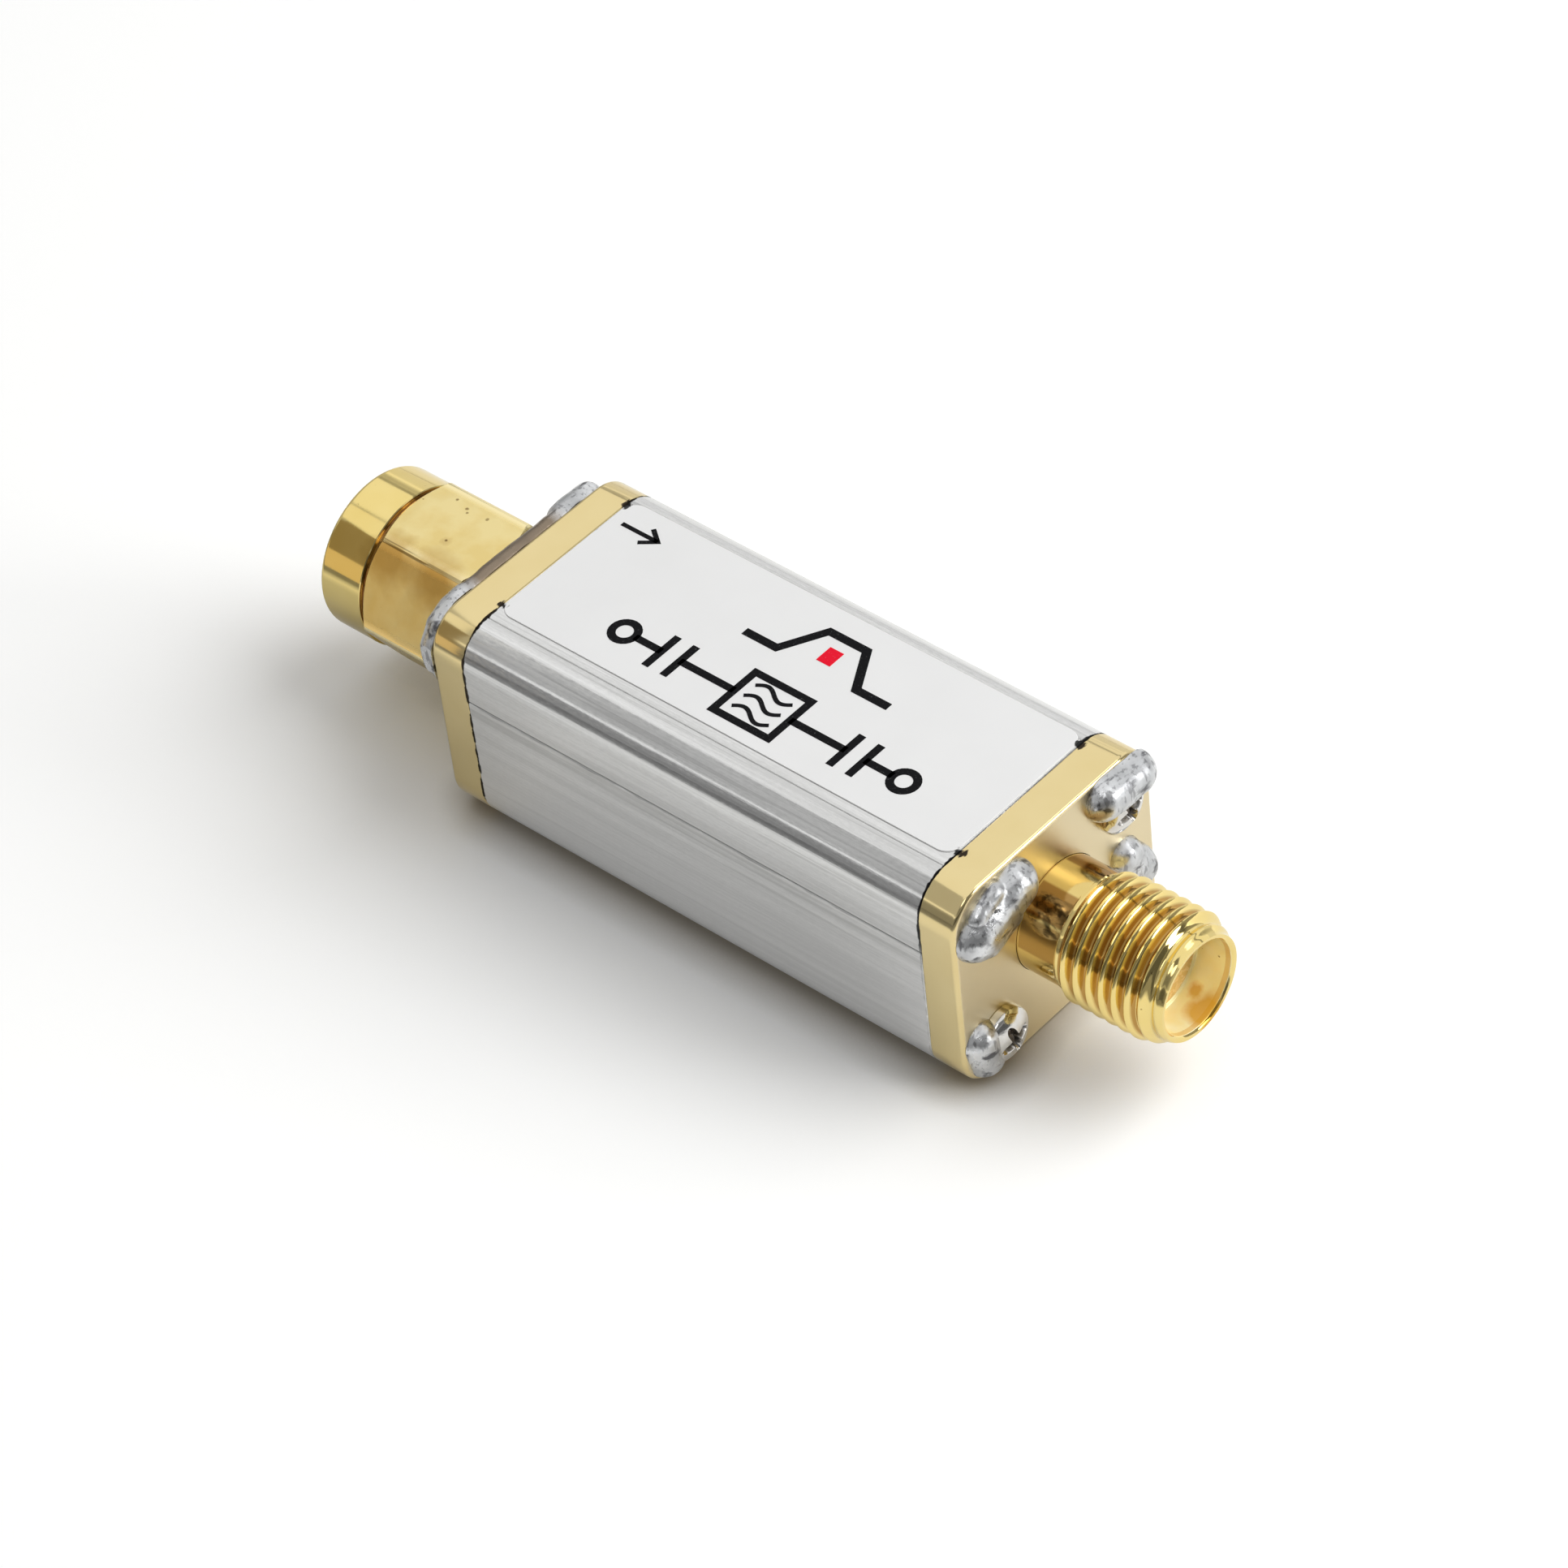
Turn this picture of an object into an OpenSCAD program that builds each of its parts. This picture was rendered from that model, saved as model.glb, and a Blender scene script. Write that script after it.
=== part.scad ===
// Coaxial band-pass filter, male and female threaded ports on an extruded aluminium body.
// Millimetres. X runs along the signal path towards the female port, Z is up through the label.
// The origin is the middle of the housing's flat underside.

/* [Housing] */
// Width of the aluminium extrusion
body_w = 13.4; // [13:0.1:15]
// Height of the aluminium extrusion
body_h = 11.6; // [11.4:0.1:13]
// Length of the aluminium extrusion between the end plates
body_l = 27; // [27:0.5:40]
// Radius of the long outer corners
corner_r = 2; // [1.6:0.1:2.2]
// Thickness of the extruded walls
wall_t = 1.2; // [1.1:0.05:1.3]
// How far the connector axis sits above the middle of the housing
axis_lift = 0.3; // [0:0.05:0.35]

/* [End plates] */
// Thickness of each gold-plated end plate
plate_t = 2; // [1.6:0.1:2.5]
// Rounding of the plate's outer rim
plate_edge_r = 0.25; // [0.1:0.05:0.4]
// Screw distance from the connector axis, across the plate
screw_y = 4.3; // [4.2:0.05:4.5]
// Screw distance from the connector axis, up and down the plate
screw_z = 3.6; // [3.5:0.05:3.7]

/* [Label] */
// Length of the label along the housing
label_l = 26.8; // [20:0.1:27]
// Width of the label
label_w = 9.2; // [7:0.1:9.4]
// How far the label is stuck off the centre line
label_shift = 0.4; // [0:0.1:0.4]
// Thickness of the label
label_t = 0.1; // [0.05:0.01:0.15]

/* [Female port] */
// Length of the barrel in front of its end plate
jack_reach = 7.9; // [7.5:0.1:12]
// Radius of the plain barrel behind the thread
barrel_r = 2.82; // [2.8:0.01:2.9]
// Length of the full thread
thread_l = 5; // [4:0.1:5.4]

/* [Male port] */
// Gap between the end plate and the back of the coupling nut
nut_gap = 1.5; // [1.4:0.1:2.5]
// Overall length of the coupling nut
nut_l = 8.8; // [8.7:0.1:10]
// Length of the round collar at the front of the nut
collar_l = 2.75; // [2:0.05:3]
// Radius of the round collar
collar_r = 4.1; // [3.9:0.05:4.4]
// Width of the nut across its flats
nut_af = 8; // [7.9:0.05:8.2]
// How far the nut is turned from having a flat on top
nut_turn = 3; // [0:1:59]

/* [Filter board] */
// Distance from each end of the circuit board to its end plate
board_gap = 1; // [0.95:0.05:1.5]
// Thickness of the circuit board
board_t = 1; // [0.8:0.1:1.2]
// Width of the signal track
track_w = 1.2; // [1:0.1:1.6]
// Side of the square resonator package
saw_side = 5; // [4.6:0.1:5.4]

/* [Hidden] */
$fn = 64;

// Heights of the housing's middle and of the connector axis
middle_z = body_h / 2;
axis_z = middle_z + axis_lift;

// Distances from the middle to the inner and outer face of an end plate
plate_in = body_l / 2;
plate_out = plate_in + plate_t;

// Inside of the extrusion
cavity_w = body_w - 2 * wall_t;
cavity_h = body_h - 2 * wall_t;
cavity_r = 0.8;
boss_r = 1.45;
port_r = 0.8;
die_line_w = 0.14;
die_line_side_z = 2;
slot_play = 0.05;
slot_depth = 0.4;

// M1.6 pan-head screws
screw_shank_r = 0.78;
screw_clear_r = 0.85;
screw_l = 5;
head_r = 1.4;
head_h = 1;
head_rim_h = 0.45;
recess_w = 0.34;
recess_l = 1.5;
recess_depth = 0.55;
head_seat_gap = 0.01;
head_facets = 96;

// Solder lumps on the plates
solder_facets = 24;

// Standard coaxial interface shared by both ports
shoulder_r = 3.5;
shoulder_t = 0.8;
press_gap = 0.02;
socket_r = 2.3;
socket_depth = 1.9;
thread_major_r = 3.175;
thread_minor_r = 2.85;
insulator_r = 2.05;
core_r = 0.635;
tail_r = 0.35;
tail_l = 2.4;
core_gap = 0.01;
core_back = 0.1;

// Female port
jack_face = plate_out + jack_reach;
jack_ref = jack_face - socket_depth;
jack_rim_r = 2.58;
jack_mouth_r = 2.42;
thread_chamfer = 0.55;
thread_runout = 0.3;
contact_bore_r = 0.47;
contact_bore_l = 2.6;
contact_slit_w = 0.14;
contact_slit_l = 2;

// Male port, measured outwards from the middle of the housing
nut_back = plate_out + nut_gap;
nut_face = nut_back + nut_l;
groove_at = nut_face - collar_l;
nut_corner_r = nut_af / 2 / cos(30);
nut_face_r = nut_af / 2 - 0.03;
nut_turned_r = nut_corner_r - 0.05;
nut_chamfer = 0.5;
nut_edge_r = 0.25;
nut_groove_w = 0.16;
nut_groove_r = 3.95;
nut_running_gap = 0.05;
nut_relief_r = 3.25;
nut_mouth_r = 3.35;
nut_mouth_l = 0.55;
plug_ref = nut_face - 2.7;
plug_seat = plug_ref - 2;
sleeve_r = 2.295;
pin_r = 0.455;
pin_reach = 2.2;
pin_tip_l = 0.35;
gasket_t = 0.65;
gasket_r = 2.8;
ring_t = 0.6;
ring_in_r = 2.5;
ring_out_r = 3.33;
ring_groove_body_r = 2.45;
ring_groove_nut_r = 3.43;
ring_play = 0.08;
ring_gap_angle = 35;
ring_back = nut_back + 1.6;

// Board and what is on it, heights measured from the connector axis
copper_t = 0.05;
board_l = body_l - 2 * board_gap;
track_top = -tail_r - 0.01;
board_top = track_top - copper_t;
board_bottom = board_top - board_t;
board_w = cavity_w + 2 * slot_depth - 0.1;
copper_inset = 0.7;
track_gap = 0.35;
saw_h = 1.1;
saw_lid_t = 0.25;
saw_lid_inset = 0.35;
saw_pad_l = 0.8;
chip_l = 1.6;
chip_w = 0.8;
chip_h = 0.75;
chip_end_l = 0.32;
chip_end_proud = 0.05;
chip_gap = 0.7;
inductor_x = 7.6;
capacitor_x = 4.9;
joint_r = 0.75;
joint_l = 1.2;
solder_gap = 0.02;

// Places children at the female end, on the connector axis unless told another height:
// their XY is the end face, and Z points out
module jack_side(height = axis_z) {
    translate([0, 0, height]) rotate([90, 0, 90]) children();
}

// The same for the male end, so that equal parts mirror each other
module plug_side(height = axis_z) {
    mirror([1, 0, 0]) jack_side(height) children();
}

// Rectangle with round corners, from squares and circles
module rounded_outline(w, h, r) {
    square([w, h - 2 * r], center = true);
    square([w - 2 * r, h], center = true);
    for (sy = [-1, 1], sz = [-1, 1])
        translate([sy * (w / 2 - r), sz * (h / 2 - r)]) circle(r);
}

// Straight-sided profile of a plate's rim: square inside, rounded on its outer edge
module rim_profile(reach, t, edge_r) {
    square([reach - edge_r, t]);
    square([reach, t - edge_r]);
    translate([reach - edge_r, t - edge_r]) circle(edge_r);
}

// Slab with round corners and one rounded rim, growing along Z
module soft_edged_slab(w, h, r, t, edge_r) {
    flat_w = w - 2 * r;
    flat_h = h - 2 * r;
    for (turn = [0, 180]) {
        rotate([0, 0, turn]) translate([0, flat_h / 2, 0]) rotate([90, 0, 0])
            linear_extrude(flat_h) rim_profile(w / 2, t, edge_r);
        rotate([0, 0, turn + 90]) translate([0, flat_w / 2, 0]) rotate([90, 0, 0])
            linear_extrude(flat_w) rim_profile(h / 2, t, edge_r);
    }
    for (sy = [-1, 1], sz = [-1, 1])
        translate([sy * flat_w / 2, sz * flat_h / 2, 0]) rotate_extrude() rim_profile(r, t, edge_r);
}

module at_screws() {
    for (sy = [-1, 1], sz = [-1, 1]) translate([sy * screw_y, sz * screw_z, 0]) children();
}

// Hollow of the extrusion: room for the board, less a boss for each screw
module cavity_outline() {
    difference() {
        union() {
            rounded_outline(cavity_w, cavity_h, cavity_r);
            translate([0, axis_lift + (board_top + board_bottom) / 2])
                square([cavity_w + 2 * slot_depth, board_t + 2 * slot_play], center = true);
        }
        at_screws() circle(boss_r);
    }
}

// Shallow lines that the extrusion die leaves beside the label and along each side
module die_lines() {
    for (side = [-1, 1]) {
        translate([side * (body_w / 2 - corner_r), body_h / 2]) rotate(45)
            square(die_line_w, center = true);
        translate([side * body_w / 2, die_line_side_z]) rotate(45)
            square(die_line_w, center = true);
    }
}

module housing() {
    color("silver") jack_side(middle_z) translate([0, 0, -body_l / 2]) linear_extrude(body_l)
        difference() {
            rounded_outline(body_w, body_h, corner_r);
            cavity_outline();
            at_screws() circle(port_r);
            die_lines();
        }
}

module label() {
    color("white") translate([0, label_shift, body_h]) linear_extrude(label_t)
        rounded_outline(label_l, label_w, 0.8);
}

module end_plate() {
    translate([0, 0, plate_in]) difference() {
        soft_edged_slab(body_w, body_h, corner_r, plate_t, plate_edge_r);
        translate([0, axis_lift, -1]) cylinder(r = barrel_r + press_gap, h = plate_t + 2);
        at_screws() translate([0, 0, -1]) cylinder(r = screw_clear_r, h = plate_t + 2);
    }
}

module plug_end_plate() {
    color("gold") plug_side(middle_z) end_plate();
}

module jack_end_plate() {
    color("gold") jack_side(middle_z) end_plate();
}

// Domed head: a short rim under a slice of a ball
module pan_head() {
    dome_h = head_h - head_rim_h;
    ball_r = (head_r * head_r + dome_h * dome_h) / (2 * dome_h);
    intersection() {
        cylinder(r = head_r, h = head_h);
        translate([0, 0, head_h - ball_r]) sphere(ball_r, $fn = head_facets);
    }
}

module pan_head_screw() {
    difference() {
        union() {
            pan_head();
            translate([0, 0, -screw_l]) cylinder(r = screw_shank_r, h = screw_l + head_rim_h / 2);
        }
        for (turn = [20, 110]) rotate([0, 0, turn])
            translate([-recess_l / 2, -recess_w / 2, head_h - recess_depth])
                cube([recess_l, recess_w, recess_depth + 1]);
    }
}

module plate_screws() {
    translate([0, 0, plate_out]) at_screws() pan_head_screw();
}

module plug_plate_screws() {
    color("lightgray") plug_side(middle_z) plate_screws();
}

module jack_plate_screws() {
    color("lightgray") jack_side(middle_z) plate_screws();
}

// Solder that flowed across the face: a round lump through the spots, with its middle line
// lifted off the plate, or sunk into it where lift is negative
module solder_run(spots, r, lift) {
    hull() for (spot = spots)
        translate([spot[0], spot[1], lift]) sphere(r, $fn = solder_facets);
}

// Only what stands above the plate, with room for the screw heads that it flows round
module on_plate_face() {
    translate([0, 0, plate_out]) difference() {
        intersection() {
            union() children();
            translate([-body_w / 2, -body_h / 2, 0]) cube([body_w, body_h, nut_gap]);
        }
        at_screws() translate([0, 0, -1])
            cylinder(r = head_r + head_seat_gap, h = head_h + head_seat_gap + 1);
    }
}

module plug_plate_solder() {
    color("slategray") plug_side(middle_z) on_plate_face() {
        solder_run([[-5.5, 2.6], [-4.7, 4.1]], 1.2, -0.25);
        solder_run([[-6.1, 2.9], [-6.1, 3.8], [-5.7, 4.8], [-4.7, 5.2], [-3.9, 5.2]], 0.59, 0.2);
        solder_run([[-3.9, 5.19], [3, 5.19]], 0.57, 0.3);
        solder_run([[2.8, 5.02], [4.6, 5.02]], 0.75, 0.45);
        solder_run([[3.4, 4.5], [5.1, 4.2]], 1.25, -0.3);
    }
}

module jack_plate_solder() {
    color("slategray") jack_side(middle_z) on_plate_face() {
        solder_run([[-5.3, 3.25], [-2.8, 4.25]], 1.28, -0.12);
        solder_run([[3.4, 4.6], [5.5, 4.5]], 1.12, 0);
        solder_run([[-5.6, -3.1], [-5.3, -4.4]], 1.05, -0.25);
        solder_run([[4.6, 0.1], [5.6, -1.4]], 1, -0.2);
    }
}

// Outside of a port from the shoulder behind the plate to the plain barrel
function shoulder_points() = [
    [0, plate_in - shoulder_t], [shoulder_r, plate_in - shoulder_t], [shoulder_r, plate_in],
    [barrel_r, plate_in]
];

module plug_body() {
    ring_front = ring_back + ring_t + ring_play;
    color("goldenrod") plug_side() difference() {
        rotate_extrude() polygon(concat(shoulder_points(), [
            [barrel_r, ring_back - ring_play], [ring_groove_body_r, ring_back - ring_play],
            [ring_groove_body_r, ring_front], [barrel_r, ring_front],
            [barrel_r, plug_seat], [sleeve_r, plug_seat],
            [sleeve_r, plug_ref - 0.1], [sleeve_r - 0.1, plug_ref], [0, plug_ref]
        ]));
        translate([0, 0, plate_in - shoulder_t - 1])
            cylinder(r = insulator_r + core_gap, h = plug_ref - plate_in + shoulder_t + 2);
    }
}

// Hexagon with its corners turned down, and turned off at both ends, as a lathe leaves them
module nut_hexagon() {
    intersection() {
        translate([0, 0, nut_back]) rotate([0, 0, nut_turn])
            cylinder(r = nut_corner_r, h = groove_at - nut_back, $fn = 6);
        rotate_extrude() polygon([
            [0, nut_back], [nut_face_r, nut_back], [nut_turned_r, nut_back + nut_chamfer],
            [nut_turned_r, groove_at - nut_chamfer], [nut_face_r, groove_at], [0, groove_at]
        ]);
    }
}

module nut_collar() {
    translate([0, 0, groove_at]) {
        cylinder(r = nut_groove_r, h = collar_l / 2);
        translate([0, 0, nut_groove_w]) rotate_extrude()
            rim_profile(collar_r, collar_l - nut_groove_w, nut_edge_r);
    }
}

// Inside of the nut, from the back: running bore, ring groove, bore, thread relief, thread, mouth
module nut_bore() {
    bore_r = barrel_r + nut_running_gap;
    groove_back = ring_back - ring_play;
    groove_front = ring_back + ring_t + ring_play;
    relief_back = plug_seat - 0.35;
    relief_front = plug_seat + 1;
    mouth_back = nut_face - nut_mouth_l;
    rotate_extrude() polygon([
        [0, nut_back - 1], [bore_r, nut_back - 1], [bore_r, groove_back],
        [ring_groove_nut_r, groove_back], [ring_groove_nut_r, groove_front], [bore_r, groove_front],
        [bore_r, relief_back], [nut_relief_r, relief_back], [nut_relief_r, relief_front],
        [thread_minor_r, relief_front], [thread_minor_r, mouth_back],
        [nut_mouth_r, nut_face], [nut_mouth_r, nut_face + 1], [0, nut_face + 1]
    ]);
}

module plug_coupling_nut() {
    color("gold") plug_side() difference() {
        union() {
            nut_hexagon();
            nut_collar();
        }
        nut_bore();
    }
}

// Open spring ring that lets the nut turn but not come off
module plug_retaining_ring() {
    color("peru") plug_side() translate([0, 0, ring_back])
        rotate([0, 0, 90 + ring_gap_angle / 2]) rotate_extrude(angle = 360 - ring_gap_angle)
            translate([ring_in_r, 0]) square([ring_out_r - ring_in_r, ring_t]);
}

module plug_gasket() {
    color("firebrick") plug_side() translate([0, 0, plug_seat]) difference() {
        cylinder(r = gasket_r, h = gasket_t);
        translate([0, 0, -1]) cylinder(r = sleeve_r + press_gap, h = gasket_t + 2);
    }
}

// Tube that centres the conductor, from the shoulder out to the reference plane
module insulator(reference) {
    translate([0, 0, plate_in - shoulder_t]) difference() {
        cylinder(r = insulator_r, h = reference - plate_in + shoulder_t);
        translate([0, 0, -1]) cylinder(r = core_r + core_gap, h = reference - plate_in + 3);
    }
}

module plug_insulator() {
    color("darkorange") plug_side() insulator(plug_ref);
}

module jack_insulator() {
    color("darkorange") jack_side() insulator(jack_ref);
}

// Points of a centre conductor from its thin tail on the board to the reference plane
function core_points(reference) = [
    [0, plate_in - shoulder_t - tail_l], [tail_r, plate_in - shoulder_t - tail_l],
    [tail_r, plate_in - shoulder_t - core_back], [core_r, plate_in - shoulder_t - core_back],
    [core_r, reference]
];

module plug_center_pin() {
    color("gold") plug_side() rotate_extrude() polygon(concat(core_points(plug_ref), [
        [pin_r, plug_ref], [pin_r, plug_ref + pin_reach - pin_tip_l],
        [pin_r / 3, plug_ref + pin_reach], [0, plug_ref + pin_reach]
    ]));
}

// Socket contact: drilled at the front and slit into four springy fingers
module jack_center_contact() {
    color("gold") jack_side() difference() {
        rotate_extrude() polygon(concat(core_points(jack_ref), [[0, jack_ref]]));
        translate([0, 0, jack_ref - contact_bore_l]) cylinder(r = contact_bore_r, h = contact_bore_l + 1);
        for (turn = [45, 135]) rotate([0, 0, turn])
            translate([-1, -contact_slit_w / 2, jack_ref - contact_slit_l])
                cube([2, contact_slit_w, contact_slit_l + 1]);
    }
}

module jack_body() {
    thread_end = jack_face - thread_chamfer;
    thread_start = thread_end - thread_l;
    color("gold") jack_side() difference() {
        rotate_extrude() polygon(concat(shoulder_points(), [
            [barrel_r, thread_start - thread_runout], [thread_major_r, thread_start],
            [thread_major_r, thread_end], [jack_rim_r, jack_face], [0, jack_face]
        ]));
        translate([0, 0, plate_in - shoulder_t - 1])
            cylinder(r = insulator_r + core_gap, h = jack_face - plate_in + 3);
        translate([0, 0, jack_ref]) cylinder(r = socket_r, h = socket_depth + 1);
        translate([0, 0, jack_face - 0.12]) cylinder(r1 = socket_r, r2 = jack_mouth_r, h = 0.121);
    }
}

// Places children on the board: X along the signal path, Z from the connector axis
module on_board() {
    translate([0, 0, axis_z]) children();
}

module filter_board() {
    color("darkgreen") on_board() translate([-board_l / 2, -board_w / 2, board_bottom])
        cube([board_l, board_w, board_t]);
}

// Half of the signal path, from a port to the resonator, broken where a chip bridges it
module track_half() {
    track_end = board_l / 2 - 0.1;
    translate([inductor_x + chip_gap / 2, -track_w / 2])
        square([track_end - inductor_x - chip_gap / 2, track_w]);
    translate([saw_side / 2 - saw_pad_l, -track_w / 2])
        square([inductor_x - chip_gap / 2 - saw_side / 2 + saw_pad_l, track_w]);
}

module ground_outline() {
    clear_w = track_w + 2 * track_gap;
    difference() {
        square([board_l - 0.4, cavity_w - 2 * copper_inset], center = true);
        square([board_l, clear_w], center = true);
        square([saw_side - 1.6, saw_side - 1.6], center = true);
    }
}

module board_tracks() {
    color("orange") on_board() translate([0, 0, board_top]) linear_extrude(copper_t) {
        track_half();
        mirror([1, 0]) track_half();
        ground_outline();
    }
}

module board_ground_plane() {
    color("orange") on_board() translate([0, 0, board_bottom - copper_t]) linear_extrude(copper_t)
        square([board_l - 0.4, cavity_w - 2 * copper_inset], center = true);
}

module saw_filter_base() {
    color("dimgray") on_board() translate([0, 0, track_top]) linear_extrude(saw_h)
        rounded_outline(saw_side, saw_side, 0.3);
}

module saw_filter_lid() {
    lid_side = saw_side - 2 * saw_lid_inset;
    color("khaki") on_board() translate([0, 0, track_top + saw_h]) linear_extrude(saw_lid_t)
        rounded_outline(lid_side, lid_side, 0.4);
}

// Two-terminal chip with wrapped ends, lying along X
module chip() {
    translate([0, 0, track_top]) {
        translate([-chip_l / 2 + chip_end_l, -chip_w / 2, chip_end_proud])
            cube([chip_l - 2 * chip_end_l, chip_w, chip_h - 2 * chip_end_proud]);
        for (side = [-1, 1])
            translate([side * (chip_l - chip_end_l) / 2, 0, chip_h / 2])
                cube([chip_end_l, chip_w + 2 * chip_end_proud, chip_h], center = true);
    }
}

module matching_inductors() {
    color("steelblue") on_board() for (side = [-1, 1])
        translate([side * inductor_x, 0, 0]) chip();
}

module matching_capacitors() {
    reach_y = track_w / 2 + track_gap / 2;
    color("tan") on_board() for (side = [-1, 1])
        translate([side * capacitor_x, side * reach_y, 0]) rotate([0, 0, 90]) chip();
}

// Fillet that joins a centre conductor's tail to its track
module pin_solder() {
    middle = plate_in - shoulder_t - tail_l / 2 - core_back;
    difference() {
        intersection() {
            translate([0, 0, middle - joint_l / 2]) cylinder(r = joint_r, h = joint_l);
            translate([-joint_r, track_top, middle - joint_l])
                cube([2 * joint_r, 2 * joint_r, 2 * joint_l]);
        }
        translate([0, 0, middle - joint_l]) cylinder(r = tail_r + solder_gap, h = 2 * joint_l);
    }
}

module plug_pin_solder() {
    color("slategray") plug_side() pin_solder();
}

module jack_pin_solder() {
    color("slategray") jack_side() pin_solder();
}

housing();
label();
plug_end_plate();
jack_end_plate();
plug_plate_screws();
jack_plate_screws();
plug_plate_solder();
jack_plate_solder();
plug_body();
plug_coupling_nut();
plug_retaining_ring();
plug_gasket();
plug_insulator();
plug_center_pin();
jack_body();
jack_insulator();
jack_center_contact();
filter_board();
board_tracks();
board_ground_plane();
saw_filter_base();
saw_filter_lid();
matching_inductors();
matching_capacitors();
plug_pin_solder();
jack_pin_solder();
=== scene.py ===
import math

import bmesh
import bpy
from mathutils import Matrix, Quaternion, Vector, noise


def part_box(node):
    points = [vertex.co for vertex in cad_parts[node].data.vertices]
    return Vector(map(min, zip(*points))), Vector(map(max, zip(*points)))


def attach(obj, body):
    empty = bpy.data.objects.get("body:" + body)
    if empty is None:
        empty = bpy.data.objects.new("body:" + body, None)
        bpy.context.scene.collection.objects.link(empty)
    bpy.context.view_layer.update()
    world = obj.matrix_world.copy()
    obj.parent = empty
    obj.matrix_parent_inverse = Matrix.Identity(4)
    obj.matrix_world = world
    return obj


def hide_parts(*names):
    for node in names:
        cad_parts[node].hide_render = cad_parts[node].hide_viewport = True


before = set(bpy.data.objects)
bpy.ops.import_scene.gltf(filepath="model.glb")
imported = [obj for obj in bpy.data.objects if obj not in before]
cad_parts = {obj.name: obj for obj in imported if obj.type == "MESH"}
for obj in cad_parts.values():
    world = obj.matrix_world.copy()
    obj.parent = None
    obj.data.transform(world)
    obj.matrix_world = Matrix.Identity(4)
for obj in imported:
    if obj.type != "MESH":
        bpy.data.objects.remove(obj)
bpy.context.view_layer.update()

# Studio: the camera stands where the photograph was taken from, over a plain pale floor. Two soft
# lamps and a white ceiling with a seam in it light the filter. Grey walls, two windows and three
# plain cards show as bands and bright spots in the metal.
scene = bpy.context.scene
scene.view_settings.view_transform = "Standard"

camera_azimuth, camera_elevation, camera_roll = map(math.radians, (45.96, 43.72, -6.97))
camera_aim = Vector((0.00023, -0.00079, 0.0058))
camera_distance = 0.27364
towards_camera = Vector((
    math.sin(camera_azimuth) * math.cos(camera_elevation),
    -math.cos(camera_azimuth) * math.cos(camera_elevation),
    math.sin(camera_elevation),
))
camera = bpy.data.objects.new("camera", bpy.data.cameras.new("camera"))
camera.data.lens = 139.75
camera.data.clip_start = 0.01
camera.rotation_mode = "QUATERNION"
camera.location = camera_aim + camera_distance * towards_camera
level_camera = (-towards_camera).to_track_quat("-Z", "Y")
camera.rotation_quaternion = Quaternion(towards_camera, camera_roll) @ level_camera
scene.collection.objects.link(camera)
scene.camera = camera

lamp_distance = 0.5
for lamp_name, lamp_side, lamp_size, lamp_watts, shows_in_metal in (
    ("soft_lamp", Vector((0.54, 0.5, 0.72)), 0.48, 2.05, False),
    ("low_lamp", Vector((0.85, 0.42, 0.3)), 0.2, 0.62, True),
):
    lamp = bpy.data.objects.new(lamp_name, bpy.data.lights.new(lamp_name, "AREA"))
    lamp.data.shape = "DISK"
    lamp.data.size = lamp_size
    lamp.data.energy = lamp_watts
    lamp.visible_glossy = shows_in_metal
    lamp.rotation_mode = "QUATERNION"
    lamp.location = lamp_side.normalized() * lamp_distance
    lamp.rotation_quaternion = (-lamp_side).to_track_quat("-Z", "Y")
    scene.collection.objects.link(lamp)


def add(tree, kind, sockets=None, **settings):
    """Adds a node. Settings are its own choices; sockets are its inputs, linked or filled in."""
    made = tree.nodes.new(kind)
    for name, value in settings.items():
        setattr(made, name, value)
    for key, value in (sockets or {}).items():
        if isinstance(value, bpy.types.NodeSocket):
            tree.links.new(value, made.inputs[key])
        else:
            made.inputs[key].default_value = value
    return made


def feed(kind, sockets, **settings):
    """Adds a node to the tree that its linked inputs come from."""
    tree = next(value.id_data for value in sockets.values() if isinstance(value, bpy.types.NodeSocket))
    return add(tree, kind, sockets, **settings)


def maths(operation, *values):
    """Adds a Math node and returns its result."""
    return feed("ShaderNodeMath", dict(enumerate(values)), operation=operation).outputs[0]


def measured(operation, *vectors):
    """Adds a Vector Math node and returns the number it gives."""
    return feed("ShaderNodeVectorMath", dict(enumerate(vectors)), operation=operation).outputs["Value"]


def axes_of(vector):
    """Splits a vector into X, Y and Z."""
    return feed("ShaderNodeSeparateXYZ", {"Vector": vector}).outputs


def ramp(value, low, high, to_low=0.0, to_high=1.0):
    """Carries a value from one range to another and holds it at the ends."""
    sockets = {"Value": value, "From Min": low, "From Max": high, "To Min": to_low, "To Max": to_high}
    return feed("ShaderNodeMapRange", sockets).outputs["Result"]


def between(share, first, second):
    """Blends two numbers."""
    return ramp(share, 0.0, 1.0, first, second)


def within(value, low, high, soft):
    """Is 1 between low and high, and fades out over soft beyond them."""
    return maths("MULTIPLY", ramp(value, low - soft, low), ramp(value, high, high + soft, 1.0, 0.0))


def mixed(share, first, second):
    """Blends two colours."""
    sockets = {"Factor": share, "A": first, "B": second}
    return feed("ShaderNodeMix", sockets, data_type="RGBA").outputs["Result"]


def grey(level):
    return (level, level, level, 1.0)


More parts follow.
